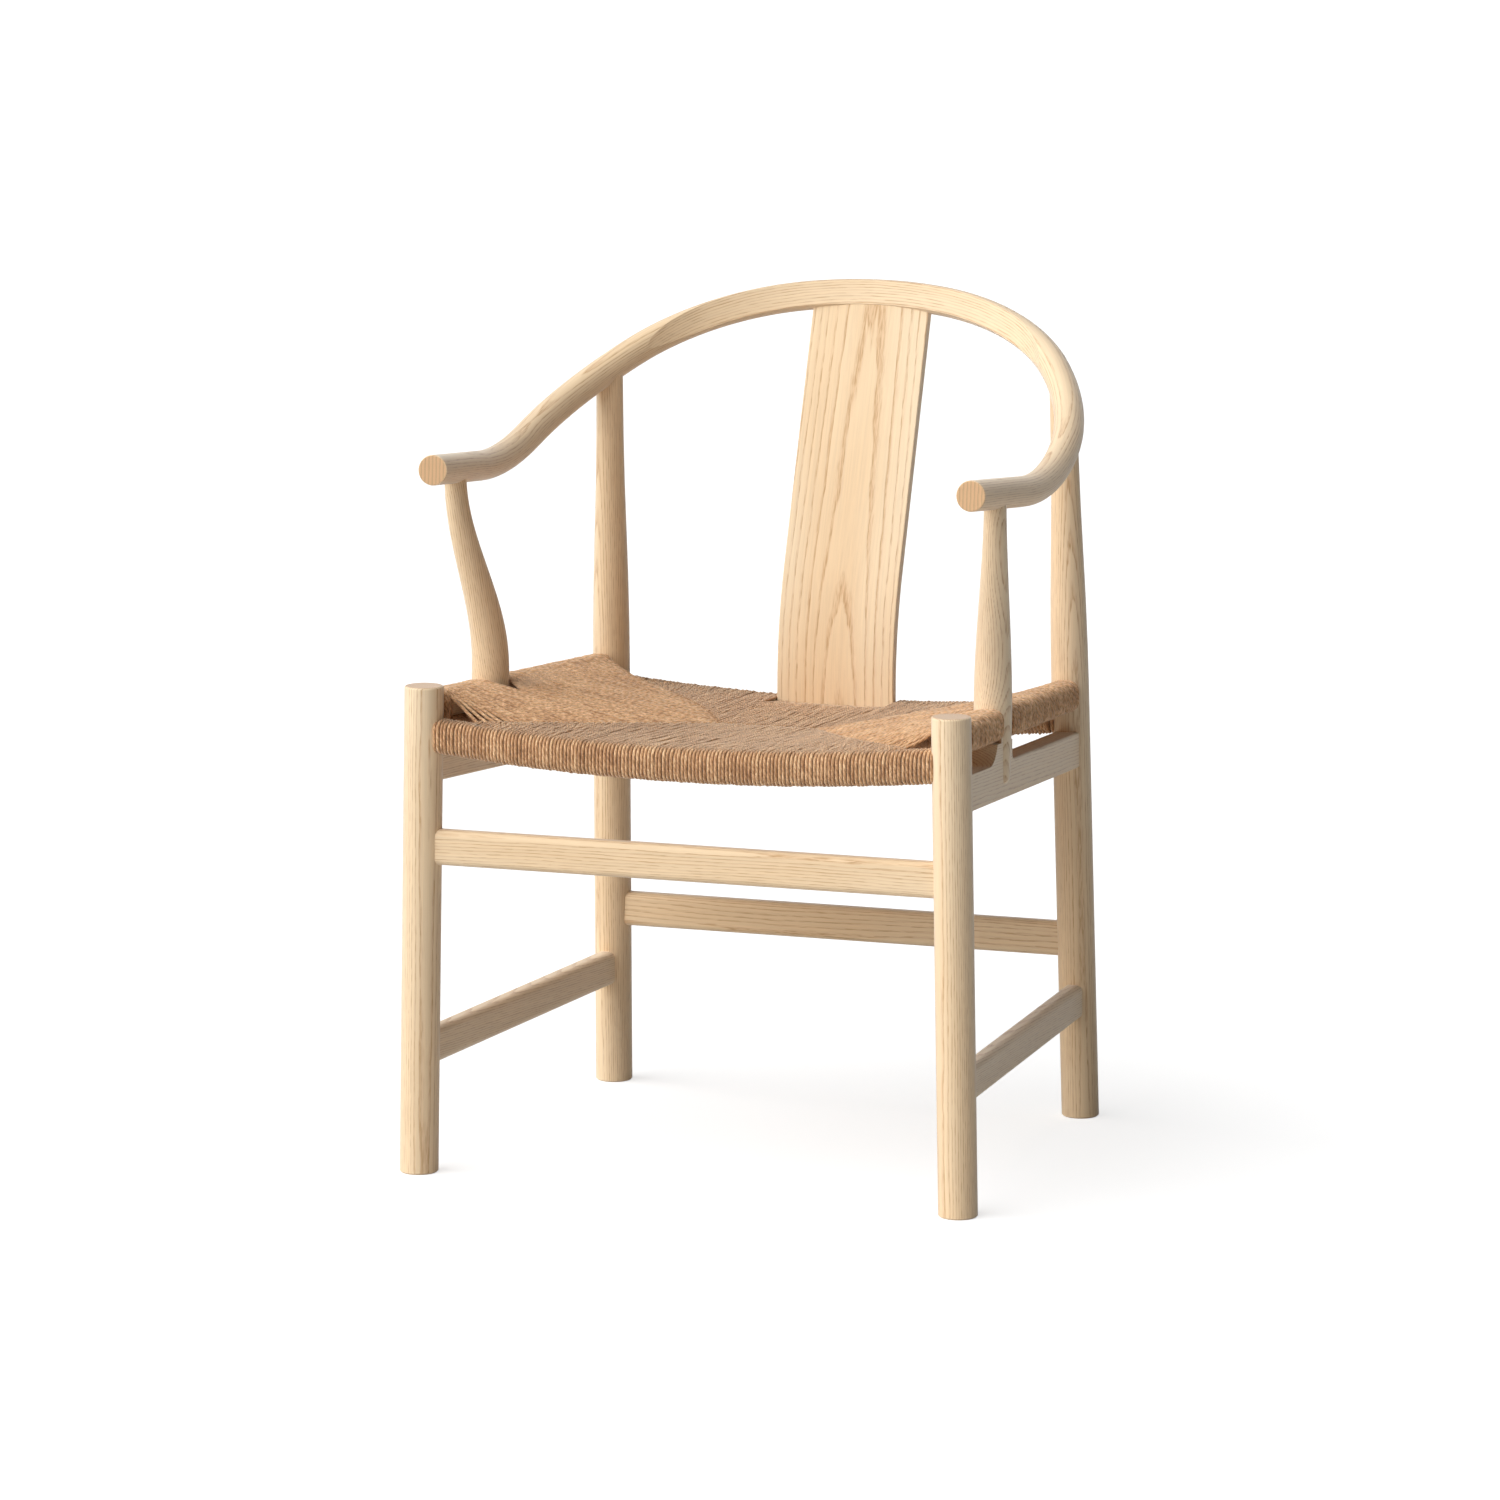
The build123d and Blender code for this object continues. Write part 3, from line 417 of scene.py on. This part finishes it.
# ---- shader helpers -----------------------------------------------------------------------------
def srgb(red, green, blue):
    """Linear colour with alpha from 0-255 screen values."""
    values = np.array([red, green, blue]) / 255
    linear = np.where(values <= 0.04045, values / 12.92, ((values + 0.055) / 1.055) ** 2.4)
    return (*linear.tolist(), 1.0)


def grey(value):
    """Linear grey with alpha."""
    return (value, value, value, 1.0)


def connect(tree, socket, value):
    """Gives a socket a value, or links it to another socket."""
    if isinstance(value, bpy.types.NodeSocket):
        tree.links.new(value, socket)
    else:
        socket.default_value = value


def node(tree, kind, inputs=None, **settings):
    """Adds a shader node; inputs are values or sockets by name or number."""
    made = tree.nodes.new(kind)
    for key, value in settings.items():
        setattr(made, key, value)
    for key, value in (inputs or {}).items():
        connect(tree, made.inputs[key], value)
    return made


def maths(tree, operation, first, second=0.0, third=0.0):
    """Result of one Math node."""
    return node(tree, "ShaderNodeMath", {0: first, 1: second, 2: third}, operation=operation).outputs[0]


def length(tree, first, second):
    """Length of the line that goes as far as first one way and as far as second across it."""
    squares = [maths(tree, "MULTIPLY", value, value) for value in (first, second)]
    return maths(tree, "SQRT", maths(tree, "ADD", *squares))


def coordinates(tree, kind="Object"):
    """Texture coordinates of the surface."""
    return node(tree, "ShaderNodeTexCoord").outputs[kind]


def separated(tree, vector):
    """The x, y and z of a vector."""
    return node(tree, "ShaderNodeSeparateXYZ", {0: vector}).outputs


def noise(tree, place, scale, detail, **inputs):
    """Noise with about scale cells per unit."""
    inputs.update({"Vector": place, "Scale": scale, "Detail": detail})
    return node(tree, "ShaderNodeTexNoise", inputs).outputs[0]


def ramp(tree, factor, stops):
    """Colour ramp from (position, colour) stops."""
    made = node(tree, "ShaderNodeValToRGB", {0: factor})
    elements = made.color_ramp.elements
    while len(elements) < len(stops):
        elements.new(1.0)
    for element, (position, colour) in zip(elements, stops):
        element.position = position
        element.color = colour
    return made.outputs[0]


def mix(tree, factor, first, second, blend="MIX"):
    """Mixed colour; the node's inputs 6 and 7 are its two colours."""
    inputs = {0: factor, 6: first, 7: second}
    return node(tree, "ShaderNodeMix", inputs, data_type="RGBA", blend_type=blend).outputs[2]


def curve_node(tree, factor, points):
    """Float curve through points, at most one unit each way."""
    made = node(tree, "ShaderNodeFloatCurve", {1: factor})
    curve = made.mapping.curves[0]
    while len(curve.points) < len(points):
        curve.points.new(0.5, 0.5)
    for point, place in zip(curve.points, points):
        point.location = place
    made.mapping.update()
    return made.outputs[0]


def new_material(name):
    """A material with an empty node tree."""
    material = bpy.data.materials.new(name)
    material.use_nodes = True
    tree = material.node_tree
    tree.nodes.clear()
    return material, tree


def finish_material(tree, colour, roughness, height, bump_distance, gloss):
    """Output and surface with a bump; gloss holds the inputs that are the same all over."""
    bump = node(tree, "ShaderNodeBump", {"Height": height, "Distance": bump_distance, "Strength": 1.0})
    inputs = {"Base Color": colour, "Roughness": roughness, "Normal": bump.outputs[0], **gloss}
    shader = node(tree, "ShaderNodeBsdfPrincipled", inputs)
    node(tree, "ShaderNodeOutputMaterial", {"Surface": shader.outputs[0]})


# ---- where the grain runs -----------------------------------------------------------------------
splat_foot_y, splat_bend_level = 161.2 * MM, 475.0 * MM
splat_bend_radius = 350.0 * MM
splat_lean = atan2(112.3, 318.4)  # from the run and rise of its leaning part, up to the bow
splat_heart = 4.0 * MM            # where the arch in the grain stands
splat_arch_level = 555.0 * MM     # below this the growth rings run out and close into an arch
splat_arch_slope, splat_arch_reach = 0.025, 35.0 * MM
splat_arch_blend = 20.0 * MM
bow_centre_y = -50.0 * MM         # the whole bow is seen from here without a fold
bow_arc_end, bow_arc_points = 0.545, 12      # share of a half turn where its straight tips start
bow_tip_depth = 3.0 * MM
bow_reach = 270.0 * MM            # turns the angle round the seat into a length along the bow


def straight_grain(origin, along):
    """Maker of coordinates across, across and along the grain of a straight piece."""
    turn = Vector(along).normalized().to_track_quat("Z", "Y").to_euler()

    def grain(tree):
        inputs = {"Vector": coordinates(tree), "Location": tuple(origin), "Rotation": tuple(turn)}
        return node(tree, "ShaderNodeMapping", inputs, vector_type="TEXTURE").outputs[0]
    return grain


def splat_grain(tree):
    """Coordinates that follow the bend of the splat: across, out from its middle plane, and up."""
    x, y, z = separated(tree, coordinates(tree))
    bend_start = splat_bend_level - splat_bend_radius * tan(splat_lean / 2)
    bend_height = splat_bend_radius * sin(splat_lean)
    above = maths(tree, "SUBTRACT", z, bend_start)
    in_bend = maths(tree, "MINIMUM", maths(tree, "MAXIMUM", above, 0.0), bend_height)
    square = maths(tree, "SUBTRACT", splat_bend_radius ** 2, maths(tree, "MULTIPLY", in_bend, in_bend))
    chord = maths(tree, "SQRT", square)
    over_bend = maths(tree, "MAXIMUM", maths(tree, "SUBTRACT", above, bend_height), 0.0)
    leaning = maths(tree, "MULTIPLY_ADD", over_bend, tan(splat_lean), splat_foot_y + splat_bend_radius)
    middle = maths(tree, "SUBTRACT", leaning, chord)
    slope_cosine = maths(tree, "DIVIDE", chord, splat_bend_radius)
    out = maths(tree, "MULTIPLY", maths(tree, "SUBTRACT", y, middle), slope_cosine)

    below = maths(tree, "SUBTRACT", z, splat_arch_level)
    below = maths(tree, "SMOOTH_MIN", below, 0.0, splat_arch_blend)
    beside = maths(tree, "ABSOLUTE", maths(tree, "SUBTRACT", x, splat_heart))
    narrow = maths(tree, "MULTIPLY_ADD", beside, -1 / splat_arch_reach, 1.0)
    run_out = maths(tree, "MULTIPLY", below, maths(tree, "MAXIMUM", narrow, 0.0))
    drifting = maths(tree, "MULTIPLY_ADD", run_out, -splat_arch_slope, out)
    return node(tree, "ShaderNodeCombineXYZ", {0: x, 1: drifting, 2: z}).outputs[0]


def halfway(values):
    """Middle between the lowest and the highest value."""
    return (values.min() + values.max()) / 2


def bow_middle():
    """Middle line of the bow as curves over the angle round the seat: reach and level."""
    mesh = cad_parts["back_bow"].data
    points = np.empty(len(mesh.vertices) * 3)
    mesh.vertices.foreach_get("co", points)
    x, y, z = points.reshape(-1, 3).T
    angle = np.arctan2(abs(x), y - bow_centre_y) / pi
    reach = np.hypot(x, y - bow_centre_y)
    places = np.linspace(0, bow_arc_end, bow_arc_points)
    middle = []
    for place in places:
        near = abs(angle - place) < places[1] / 2
        radius = halfway(reach[near])
        middle.append((radius * np.sin(place * pi), radius * np.cos(place * pi), halfway(z[near])))
    near = y < y.min() + bow_tip_depth
    tip = np.array([halfway(abs(x[near])), y.min() - bow_centre_y, halfway(z[near])])
    last = np.array(middle[-1])
    middle += [last + (tip - last) * share for share in (1 / 3, 2 / 3, 1)]
    across, back, level = np.array(middle).T
    turn = np.arctan2(across, back) / pi
    return list(zip(turn, np.hypot(across, back))), list(zip(turn, level))


def bow_grain(tree):
    """Coordinates that follow the horseshoe: outward, up from its axis, and along it."""
    x, y, z = separated(tree, coordinates(tree))
    back = maths(tree, "SUBTRACT", y, bow_centre_y)
    turn = maths(tree, "ARCTAN2", maths(tree, "ABSOLUTE", x), back)
    angle = maths(tree, "DIVIDE", turn, pi)
    middle_reach, middle_level = bow_middle()
    outward = maths(tree, "SUBTRACT", length(tree, x, back), curve_node(tree, angle, middle_reach))
    height = maths(tree, "SUBTRACT", z, curve_node(tree, angle, middle_level))
    either_way = maths(tree, "MULTIPLY", turn, maths(tree, "SIGN", x))
    along = maths(tree, "MULTIPLY", either_way, bow_reach)
    return node(tree, "ShaderNodeCombineXYZ", {0: outward, 1: height, 2: along}).outputs[0]


# ---- ash ----------------------------------------------------------------------------------------
ash_late = srgb(248, 225, 191)
ash_mid = srgb(241, 210, 169)
ash_early = srgb(206, 160, 113)
ash_pore = srgb(184, 136, 86)
ash_end = srgb(216, 176, 134)
ash_gloss = {"Specular IOR Level": 0.15, "Sheen Weight": 0.6, "Sheen Roughness": 0.4}
ash_roughness, fibre_roughness = 0.40, 0.18
ash_bump = 0.15 * MM
pore_depth, fibre_height = -0.6, 0.35        # shares of the bump

# Cells per metre of the noises: across the grain, across it and along it.
warp_cells = (14, 14, 2.4)
fine_cells = (160, 160, 22)
fibre_cells = (700, 700, 14)
pore_cells = (1300, 1300, 75)
warp_shift = np.array([1.0, 0.7, 1.3])       # the way from one piece's bit of the tree to the next
warp_reach, fine_reach = 10.0 * MM, 1.1 * MM     # how far they push a growth ring
year_least, year_spread = 0.45, 0.75         # strength of the rings, from year to year
early_share, pore_share = 0.50, 0.6          # of their colours
end_ring = 4.2 * MM                          # growth rings across the end grain
end_ring_reach = 1.5 * MM


def grain_noise(tree, local, cells, detail, shift=0.0, **inputs):
    """Noise that is stretched along the grain."""
    location = tuple(shift * warp_shift)
    place = node(tree, "ShaderNodeMapping", {"Vector": local, "Scale": cells, "Location": location})
    return noise(tree, place.outputs[0], 1.0, detail, **inputs)


def early_wood(tree, phase, band):
    """Dark, open-pored wood at the start of each ring, which then fades."""
    return ramp(tree, phase, ((0.0, grey(0.25)), (0.05 * band, grey(1.0)), (0.24 * band, grey(0.55)),
                              (0.42 * band, grey(0.1)), (0.95, grey(0.0)), (1.0, grey(0.25))))


def end_mask(tree, end_axis, end_before):
    """One where the surface shows end grain."""
    facing = node(tree, "ShaderNodeVectorMath", {0: coordinates(tree, "Normal"), 1: tuple(end_axis)},
                  operation="DOT_PRODUCT").outputs["Value"]
    end = ramp(tree, maths(tree, "ABSOLUTE", facing), ((0.86, grey(0.0)), (0.97, grey(1.0))))
    if end_before is None:
        return end
    _, back, _ = separated(tree, coordinates(tree))
    return maths(tree, "MULTIPLY", end, maths(tree, "LESS_THAN", back, end_before))


def ash(name, grain, end_axis, pith, tilt, ring, offset, waves=1.0, band=1.0, end_before=None):
    """Solid ash: growth rings round a distant pith, open pores in the early wood, fine fibres.

    grain makes the local coordinates in a tree, end_axis is the direction in which end grain
    faces, pith is where the heart of the tree lies across the piece and ring the spacing of the
    rings, both in millimetres, and tilt is how much the rings run out along it.  waves scales
    their sway and band the share of a ring that its dark early wood takes.  offset makes each
    piece another bit of the tree.  end_before keeps end grain to the part in front of that y.
    """
    material, tree = new_material(name)
    local = grain(tree)
    warp = grain_noise(tree, local, warp_cells, 3.0, offset, Roughness=0.45)
    fine = grain_noise(tree, local, fine_cells, 2.0)
    fibres = grain_noise(tree, local, fibre_cells, 3.0)
    pores = grain_noise(tree, local, pore_cells, 1.0)

    x, y, z = separated(tree, local)
    distance = length(tree, maths(tree, "SUBTRACT", x, pith[0] * MM),
                      maths(tree, "SUBTRACT", y, pith[1] * MM))
    drifting = maths(tree, "MULTIPLY_ADD", z, tilt, distance)
    swayed = maths(tree, "MULTIPLY_ADD", warp, warp_reach * waves, drifting)
    wavy = maths(tree, "MULTIPLY_ADD", fine, fine_reach, swayed)
    rings = maths(tree, "DIVIDE", wavy, ring * MM)
    early = early_wood(tree, maths(tree, "FRACT", rings), band)
    year = node(tree, "ShaderNodeTexWhiteNoise", {"W": maths(tree, "FLOOR", rings)},
                noise_dimensions="1D").outputs["Value"]
    strength = maths(tree, "MULTIPLY_ADD", year, year_spread, year_least)
    strong = maths(tree, "MULTIPLY", early, strength)
    open_pores = ramp(tree, pores, ((0.47, grey(0.0)), (0.58, grey(1.0))))
    pore_mask = maths(tree, "MULTIPLY", open_pores, early)

    broad = ramp(tree, warp, ((0.3, ash_late), (0.7, ash_mid)))
    ringed = mix(tree, maths(tree, "MULTIPLY", strong, early_share), broad, ash_early)
    pored = mix(tree, maths(tree, "MULTIPLY", pore_mask, pore_share), ringed, ash_pore)
    shade = ramp(tree, fibres, ((0.25, grey(0.90)), (0.75, grey(1.0))))
    fibred = mix(tree, 1.0, pored, shade, "MULTIPLY")
    end_place = maths(tree, "MULTIPLY_ADD", fine, end_ring_reach, x)
    end_phase = maths(tree, "FRACT", maths(tree, "DIVIDE", end_place, end_ring))
    streaks = ramp(tree, end_phase, ((0.0, grey(0.72)), (0.5, grey(1.0))))
    end_colour = mix(tree, 1.0, ash_end, streaks, "MULTIPLY")
    colour = mix(tree, end_mask(tree, end_axis, end_before), fibred, end_colour)

    roughness = maths(tree, "MULTIPLY_ADD", fibres, fibre_roughness, ash_roughness)
    fibre_bump = maths(tree, "MULTIPLY", fibres, fibre_height)
    height = maths(tree, "MULTIPLY_ADD", pore_mask, pore_depth, fibre_bump)
    finish_material(tree, colour, roughness, height, ash_bump, ash_gloss)
    return material


# ---- which wood is on which piece ---------------------------------------------------------------
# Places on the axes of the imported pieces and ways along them, all of the right side.
front_foot = np.array([270.0, -262.5, 0]) * MM
front_leg_way = np.array([-0.0192, 0, 1])
rear_foot = np.array([245.9, 188.2, 0]) * MM
rear_top = np.array([234.27, 151.78, 723.91]) * MM
arm_foot = np.array([253.2, -116.8, 446.5]) * MM
arm_post_way = np.array([0.016, -0.045, 0.214])
front_rails_place = np.array([0, -262.5, 315.1]) * MM
rear_rails_place = np.array([0, 180.0, 178.0]) * MM
bow_arms_front = -200.0 * MM      # only the tips of the bow face forward in front of this


def paint(names, material):
    """Puts a material on CAD nodes."""
    for name in names:
        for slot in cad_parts[name].material_slots:
            slot.material = material


def paint_pair(wood, names, foot, along, end_axis, pith, offset, **look):
    """Ash on the same pieces of both sides; foot, along and pith are those of the right side."""
    for sign, side in ((-1, "left"), (1, "right")):
        mirror = np.array([sign, 1, 1])
        material = ash(f"ash_{wood}_{side}", straight_grain(foot * mirror, along * mirror), end_axis,
                       (pith[0] * sign, pith[1]), offset=offset + sign, **look)
        paint([f"{name}_{side}" for name in names], material)


paint_pair("front_leg", ["front_leg"], front_foot, front_leg_way, UP, (-70, 55), 3.1,
           tilt=0.004, ring=1.9, waves=0.5)
paint_pair("rear_post", ["rear_post"], rear_foot, rear_top - rear_foot, UP, (60, -48), 7.7,
           tilt=0.004, ring=1.9, waves=0.5)
paint_pair("arm_post", ["arm_post"], arm_foot, arm_post_way, UP, (-52, 40), 11.0,
           tilt=0.004, ring=2.0, waves=0.4)
paint_pair("side", ["side_seat_rail", "side_apron", "side_stretcher"], side_front,
           side_rear - side_front, BACK, (30, -90), 15.0, tilt=0.006, ring=2.1)
paint(["front_stretcher", "front_seat_rail"], ash(
    "ash_front_rails", straight_grain(front_rails_place, RIGHT), RIGHT, (-60, 40),
    tilt=0.003, ring=1.9, offset=21.0))
paint(["rear_stretcher", "rear_seat_rail"], ash(
    "ash_rear_rails", straight_grain(rear_rails_place, RIGHT), RIGHT, (-80, -30),
    tilt=0.004, ring=2.1, offset=25.0))
paint(["back_splat"], ash(
    "ash_splat", splat_grain, UP, (4, 102.55),
    tilt=0.0, ring=3.1, waves=0.2, offset=31.0, band=0.7))
paint(["back_bow"], ash(
    "ash_bow", bow_grain, BACK, (25, -70),
    tilt=0.004, ring=2.1, offset=41.0, end_before=bow_arms_front))


# ---- paper of the cord --------------------------------------------------------------------------
paper_dark, paper_mid, paper_light = srgb(162, 112, 72), srgb(212, 162, 115), srgb(250, 209, 162)
paper_gloss = {"Specular IOR Level": 0.25, "Sheen Weight": 1.0, "Sheen Roughness": 0.5,
               "Sheen Tint": srgb(255, 234, 210)}
paper_roughness = 0.65
paper_bump = 0.3 * MM
fleck_height = 0.4                # share of the bump
ply_count, ply_spacing = 3.0, 6.6 * MM       # round the cord, and from ply to ply along it
ply_wander = 1.6
wander_cells, fleck_cells, cloud_cells = 60.0, 420.0, 22.0       # per metre
mottle_scale = 1 / (9.0 * MM)     # the tone of a strand changes about every 9 mm
strand_spacing = 300.0            # keeps the mottle of one strand apart from the next one's


def paper_cord():
    """Twisted three-ply kraft paper cord, with painted shade in the grooves between its plies."""
    material, tree = new_material("paper_cord")
    u, v, _ = separated(tree, node(tree, "ShaderNodeUVMap", uv_map="cord").outputs[0])
    place = coordinates(tree)
    wander = noise(tree, place, wander_cells, 1.0)
    fleck = noise(tree, place, fleck_cells, 3.0)
    cloud = noise(tree, place, cloud_cells, 2.0)
    wound = maths(tree, "MULTIPLY_ADD", v, 1 / ply_spacing, maths(tree, "MULTIPLY", u, ply_count))
    turns = maths(tree, "ADD", wound, maths(tree, "MULTIPLY", wander, ply_wander))
    ply = maths(tree, "ABSOLUTE", maths(tree, "SINE", maths(tree, "MULTIPLY", turns, pi)))

    tone = node(tree, "ShaderNodeAttribute", attribute_name="strand_tone").outputs["Fac"]
    own_place = node(tree, "ShaderNodeCombineXYZ", {0: maths(tree, "MULTIPLY", tone, strand_spacing),
                                                    1: maths(tree, "MULTIPLY", v, mottle_scale)})
    mottle = node(tree, "ShaderNodeTexNoise", {"Vector": own_place.outputs[0], "Scale": 1.0,
                                               "Detail": 2.0}, noise_dimensions="2D").outputs[0]
    blend = 0.0
    for source, share in ((fleck, 0.55), (mottle, 0.45), (cloud, 0.2), (tone, 0.14)):
        blend = maths(tree, "MULTIPLY_ADD", source, share, blend)
    base = ramp(tree, blend, ((0.46, paper_dark), (0.68, paper_mid), (0.88, paper_light)))
    # painted shade: the colour is darkened where the plies meet, in the grooves between them
    painted_groove_shade = ramp(tree, ply, ((0.0, grey(0.5)), (0.4, grey(0.92)), (1.0, grey(1.0))))
    colour = mix(tree, 1.0, base, painted_groove_shade, "MULTIPLY")
    height = maths(tree, "ADD", ply, maths(tree, "MULTIPLY", fleck, fleck_height))
    finish_material(tree, colour, paper_roughness, height, paper_bump, paper_gloss)
    return material


cord_material = paper_cord()
for piece, stood_for in cords.values():
    piece.data.materials.clear()
    piece.data.materials.append(cord_material)
    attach(piece, "root")
    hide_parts(stood_for)


# ---- stage, light and camera --------------------------------------------------------------------
floor_size = 60.0
floor_bounce = 0.62               # grey of the floor as the chair is lit by it
floor_grey, floor_glow = 0.5, 0.7            # as it is seen: white, and darker in a shadow
world_tint = (0.96, 0.985, 1.0, 1.0)
world_light, world_slant = 0.155, -0.16      # strength from the middle, and what the right adds
key_place, key_angle, key_strength = (-3.0, -3.0, 3.7), 80, 3.55
fill_place, fill_angle, fill_strength = (-0.8, -4.0, 1.2), 60, 0.25
camera_lens, camera_sensor = 174.09, 36.0    # millimetres
camera_place = (2.34279, -6.47341, 1.54846)
camera_down, camera_turn = 9.634, 20.14      # degrees


def background_rays(tree):
    """One for the rays that show the stage itself: to the eye, in reflections and through glass."""
    path = node(tree, "ShaderNodeLightPath")
    return maths(tree, "MAXIMUM", path.outputs["Is Camera Ray"], maths(
        tree, "MAXIMUM", path.outputs["Is Glossy Ray"], path.outputs["Is Transmission Ray"]))


def make_floor():
    """White to the eye but for the chair's shadow, and a plain grey as a source of light."""
    bpy.ops.mesh.primitive_plane_add(size=floor_size)
    floor = bpy.context.object
    floor.name = "floor"
    material, tree = new_material("white_floor")
    seen = background_rays(tree)
    diffuse = node(tree, "ShaderNodeBsdfDiffuse", {"Color": grey(floor_bounce)})
    soft = node(tree, "ShaderNodeBsdfDiffuse", {"Color": grey(floor_grey)})
    glow = node(tree, "ShaderNodeEmission", {"Color": grey(1.0), "Strength": floor_glow})
    both = node(tree, "ShaderNodeAddShader", {0: soft.outputs[0], 1: glow.outputs[0]})
    shown = node(tree, "ShaderNodeMixShader", {0: seen, 1: diffuse.outputs[0], 2: both.outputs[0]})
    node(tree, "ShaderNodeOutputMaterial", {"Surface": shown.outputs[0]})
    floor.data.materials.append(material)


def make_world():
    """White to the eye and in reflections; as a light, dim, cool and weaker from the right."""
    world = bpy.data.worlds.new("studio")
    bpy.context.scene.world = world
    world.use_nodes = True
    tree = world.node_tree
    tree.nodes.clear()
    seen = background_rays(tree)
    x, _, _ = separated(tree, coordinates(tree, "Generated"))
    light = maths(tree, "MULTIPLY_ADD", x, world_slant, world_light)
    strength = maths(tree, "MAXIMUM", light, seen)
    colour = mix(tree, seen, world_tint, grey(1.0))
    sky = node(tree, "ShaderNodeBackground", {"Color": colour, "Strength": strength})
    node(tree, "ShaderNodeOutputWorld", {"Surface": sky.outputs[0]})


def make_sun(name, place, angle, strength):
    """A far lamp that shines from place to the origin, as soft as the angle it fills."""
    light = bpy.data.lights.new(name, "SUN")
    light.angle = radians(angle)
    light.energy = strength
    lamp = bpy.data.objects.new(name, light)
    bpy.context.scene.collection.objects.link(lamp)
    lamp.location = place
    lamp.rotation_euler = (-Vector(place)).to_track_quat("-Z", "Y").to_euler()


def make_camera():
    """A long lens from the front, a little from the right and above."""
    data = bpy.data.cameras.new("camera")
    data.lens = camera_lens
    data.sensor_width = camera_sensor
    camera = bpy.data.objects.new("camera", data)
    bpy.context.scene.collection.objects.link(camera)
    camera.location = camera_place
    camera.rotation_euler = (radians(90 - camera_down), 0, radians(camera_turn))
    bpy.context.scene.camera = camera


make_floor()
make_world()
make_sun("key_light", key_place, key_angle, key_strength)
make_sun("fill_light", fill_place, fill_angle, fill_strength)
make_camera()
bpy.context.scene.view_settings.view_transform = "Standard"
